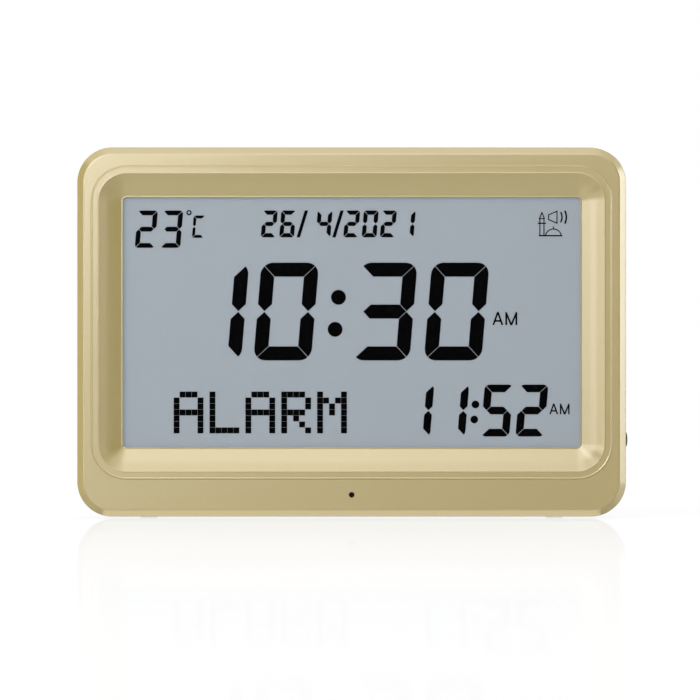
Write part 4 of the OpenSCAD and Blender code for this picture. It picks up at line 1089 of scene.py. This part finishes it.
def floor_material(half_w, half_d):
    """White floor that mirrors what stands on it, most of all close to it."""
    mirror_reach = 1.3
    mirror_near = 0.15
    mirror_far = 0.045
    shade_reach = 0.7
    shade_near = 0.14
    shade_far = 0.02
    dimmed_in_gloss = 0.58
    material, tree = new_material("studio_floor")
    axes = add(tree, "ShaderNodeSeparateXYZ", {0: object_place(tree)}).outputs
    squares = []
    for axis, half in (("X", half_w), ("Y", half_d)):
        out = calc(tree, "SUBTRACT", calc(tree, "ABSOLUTE", axes[axis]), half)
        beyond = calc(tree, "MAXIMUM", out, 0.0)
        squares.append(times(tree, beyond, beyond))
    away = calc(tree, "SQRT", calc(tree, "ADD", *squares))

    closeness = mapped(tree, away, 0.0, mirror_reach, 1.0, 0.0)
    mirror = calc(tree, "MULTIPLY_ADD", calc(tree, "POWER", closeness, 2.5),
                  mirror_near, mirror_far)
    shade = mapped(tree, away, 0.0, shade_reach, shade_near, shade_far,
                   interpolation_type="SMOOTHSTEP")
    seen_white = calc(tree, "SUBTRACT", 1.0 + shade_far, shade)
    glossy = add(tree, "ShaderNodeLightPath").outputs["Is Glossy Ray"]
    in_gloss = calc(tree, "MULTIPLY_ADD", glossy, -dimmed_in_gloss, 1.0)
    glow = add(tree, "ShaderNodeEmission", {"Strength": times(tree, seen_white, in_gloss)})
    shown = add(tree, "ShaderNodeAddShader", {0: glow.outputs[0], 1: diffuse(tree, shade)})
    ground = mix(tree, seen_rays(tree), diffuse(tree, (0.8, 0.8, 0.8, 1.0)), shown.outputs[0])
    polish = add(tree, "ShaderNodeBsdfGlossy", {"Color": WHITE, "Roughness": 0.03})
    add(tree, "ShaderNodeOutputMaterial",
        {"Surface": mix(tree, mirror, ground, polish.outputs[0])})
    return material


def wall_material(radius, height, facing, half_span):
    """Dark grey that fades out towards the ends and the top of the wall."""
    end_fade = 0.35
    top_fade = 0.6
    material, tree = new_material("studio_wall")
    place = object_place(tree)
    towards = (math.cos(facing) / radius, math.sin(facing) / radius, 0.0)
    around = add(tree, "ShaderNodeVectorMath", {0: place, 1: towards},
                 operation="DOT_PRODUCT").outputs["Value"]
    up = add(tree, "ShaderNodeSeparateXYZ", {0: place}).outputs["Z"]
    end = math.cos(half_span)
    within = mapped(tree, around, end, end + end_fade, 0.0, 1.0, interpolation_type="SMOOTHSTEP")
    below = mapped(tree, up, height, height * top_fade, 0.0, 1.0,
                   interpolation_type="SMOOTHSTEP")
    clear = add(tree, "ShaderNodeBsdfTransparent").outputs[0]
    grey = diffuse(tree, (0.15, 0.15, 0.15, 1.0))
    add(tree, "ShaderNodeOutputMaterial",
        {"Surface": mix(tree, times(tree, within, below), clear, grey)})
    return material


def sheet_object(name, rows, material):
    """A staging sheet from rows of points."""
    bm = bmesh.new()
    grid = [[bm.verts.new(point) for point in row] for row in rows]
    for low, high in zip(grid, grid[1:]):
        for i in range(len(low) - 1):
            bm.faces.new((low[i], low[i + 1], high[i + 1], high[i]))
    mesh = bpy.data.meshes.new(name)
    bm.to_mesh(mesh)
    bm.free()
    mesh.materials.append(material)
    made = linked(name, mesh)
    return made


def white_world(ambient):
    """White wherever it is seen, and an even dim light elsewhere."""
    world = bpy.data.worlds.new("white_room")
    bpy.context.scene.world = world
    world.use_nodes = True
    tree = world.node_tree
    tree.nodes.clear()
    strength = calc(tree, "MULTIPLY_ADD", seen_rays(tree), 1.0 - ambient, ambient)
    light = add(tree, "ShaderNodeBackground", {"Color": WHITE, "Strength": strength})
    add(tree, "ShaderNodeOutputWorld", {"Surface": light.outputs[0]})


def studio_sheets(half_w, half_d):
    """The floor, and the wall that the clock's front mirrors."""
    reach = 8.0
    sheet_object("studio_floor", [[(-reach, y, 0), (reach, y, 0)] for y in (-reach, reach)],
                 floor_material(half_w, half_d))
    radius = 3.2
    height = 3.0
    facing = math.radians(250)
    half_span = math.radians(100)
    steps = 30
    arc = [facing + half_span * (2 * i / steps - 1) for i in range(steps + 1)]
    wall = sheet_object("studio_wall", [[(radius * math.cos(a), radius * math.sin(a), z)
                                         for a in arc] for z in (0, height)],
                        wall_material(radius, height, facing, half_span))
    wall.visible_camera = False
    wall.visible_diffuse = False


class AZAN_OT_stage(bpy.types.Operator):
    """Set up the camera of the picture, the lamps, the white floor and the studio wall"""
    bl_idname = "azan_clock.stage"
    bl_label = "Stage"

    def execute(self, context):
        scene = context.scene
        sizes = scene.azan_stage
        low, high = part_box("front_frame")
        bevel_y = low.y + scene.azan_shell.rim_height + scene.azan_shell.bevel
        front_w = high.x - low.x - 2 * scene.azan_shell.draft
        scale = front_w / (CASE_RIGHT_PX - CASE_LEFT_PX)
        centre_px = (CASE_LEFT_PX + CASE_RIGHT_PX) / 2
        middle_px = (CASE_TOP_PX + CASE_BOTTOM_PX) / 2
        camera = bpy.data.cameras.new("front_camera")
        camera.sensor_width = SENSOR_WIDTH
        camera.lens = SENSOR_WIDTH * sizes.distance / (PHOTO_SIZE * scale)
        made = linked("front_camera", camera)
        made.location = ((PHOTO_SIZE / 2 - centre_px) * scale, bevel_y - sizes.distance,
                         (low.z + high.z) / 2 - (PHOTO_SIZE / 2 - middle_px) * scale)
        made.rotation_euler = (QUARTER, 0, 0)
        scene.camera = made
        scene.view_settings.view_transform = "Standard"

        target = (0, 0, middle("front_frame")[2])
        for name, (width, height, place) in LAMPS.items():
            made = lamp(name + "_lamp", getattr(sizes, name + "_power"), width, height, place,
                        target)
            made.visible_glossy = name != "side"
        bounce_margin = 20 * MM
        bounce_depth = 4 * MM
        bounce_place = (0, low.y + 1.5 * MM, 0.3 * MM)
        lamp("bounce_lamp", sizes.bounce_power, front_w - bounce_margin, bounce_depth,
             bounce_place, (*bounce_place[:2], 1))
        lamp("rear_lamp", sizes.rear_power, *REAR_LAMP, target)
        white_world(sizes.ambient)
        studio_sheets(high.x, -low.y)
        return {"FINISHED"}


# ---- add-on

class AZAN_PT_panel(bpy.types.Panel):
    """Lists the sizes, the colours and the building steps"""
    bl_idname = "AZAN_PT_panel"
    bl_label = "Azan clock"
    bl_space_type = "VIEW_3D"
    bl_region_type = "UI"
    bl_category = "Azan clock"

    def draw(self, context):
        for title, settings in (("Front shell", context.scene.azan_shell),
                                ("Back", context.scene.azan_rear),
                                ("Colours", context.scene.azan_colours),
                                ("Stage", context.scene.azan_stage)):
            box = self.layout.box()
            box.label(text=title)
            for name in settings.bl_rna.properties.keys():
                if name not in ("rna_type", "name"):
                    box.prop(settings, name)
        for operator in BUILD_STEPS:
            self.layout.operator(operator.bl_idname)


BUILD_STEPS = (AZAN_OT_stage, AZAN_OT_front_shell, AZAN_OT_rear_cover, AZAN_OT_battery_door,
               AZAN_OT_stand_leg, AZAN_OT_rear_keys, AZAN_OT_side_button, AZAN_OT_key_legends,
               AZAN_OT_case_screws, AZAN_OT_inlet, AZAN_OT_finishes)
SETTINGS = {"azan_shell": ClockShellSizes, "azan_rear": ClockRearSizes,
            "azan_colours": ClockColours, "azan_stage": ClockStage}


def register():
    for kind in (*SETTINGS.values(), *BUILD_STEPS, AZAN_PT_panel):
        bpy.utils.register_class(kind)
    for name, kind in SETTINGS.items():
        setattr(bpy.types.Scene, name, PointerProperty(type=kind))


def unregister():
    for name in SETTINGS:
        delattr(bpy.types.Scene, name)
    for kind in (AZAN_PT_panel, *reversed(BUILD_STEPS), *SETTINGS.values()):
        bpy.utils.unregister_class(kind)


def main():
    register()
    for operator in BUILD_STEPS:
        getattr(bpy.ops.azan_clock, operator.bl_idname.split(".")[1])()


if __name__ == "__main__":
    main()
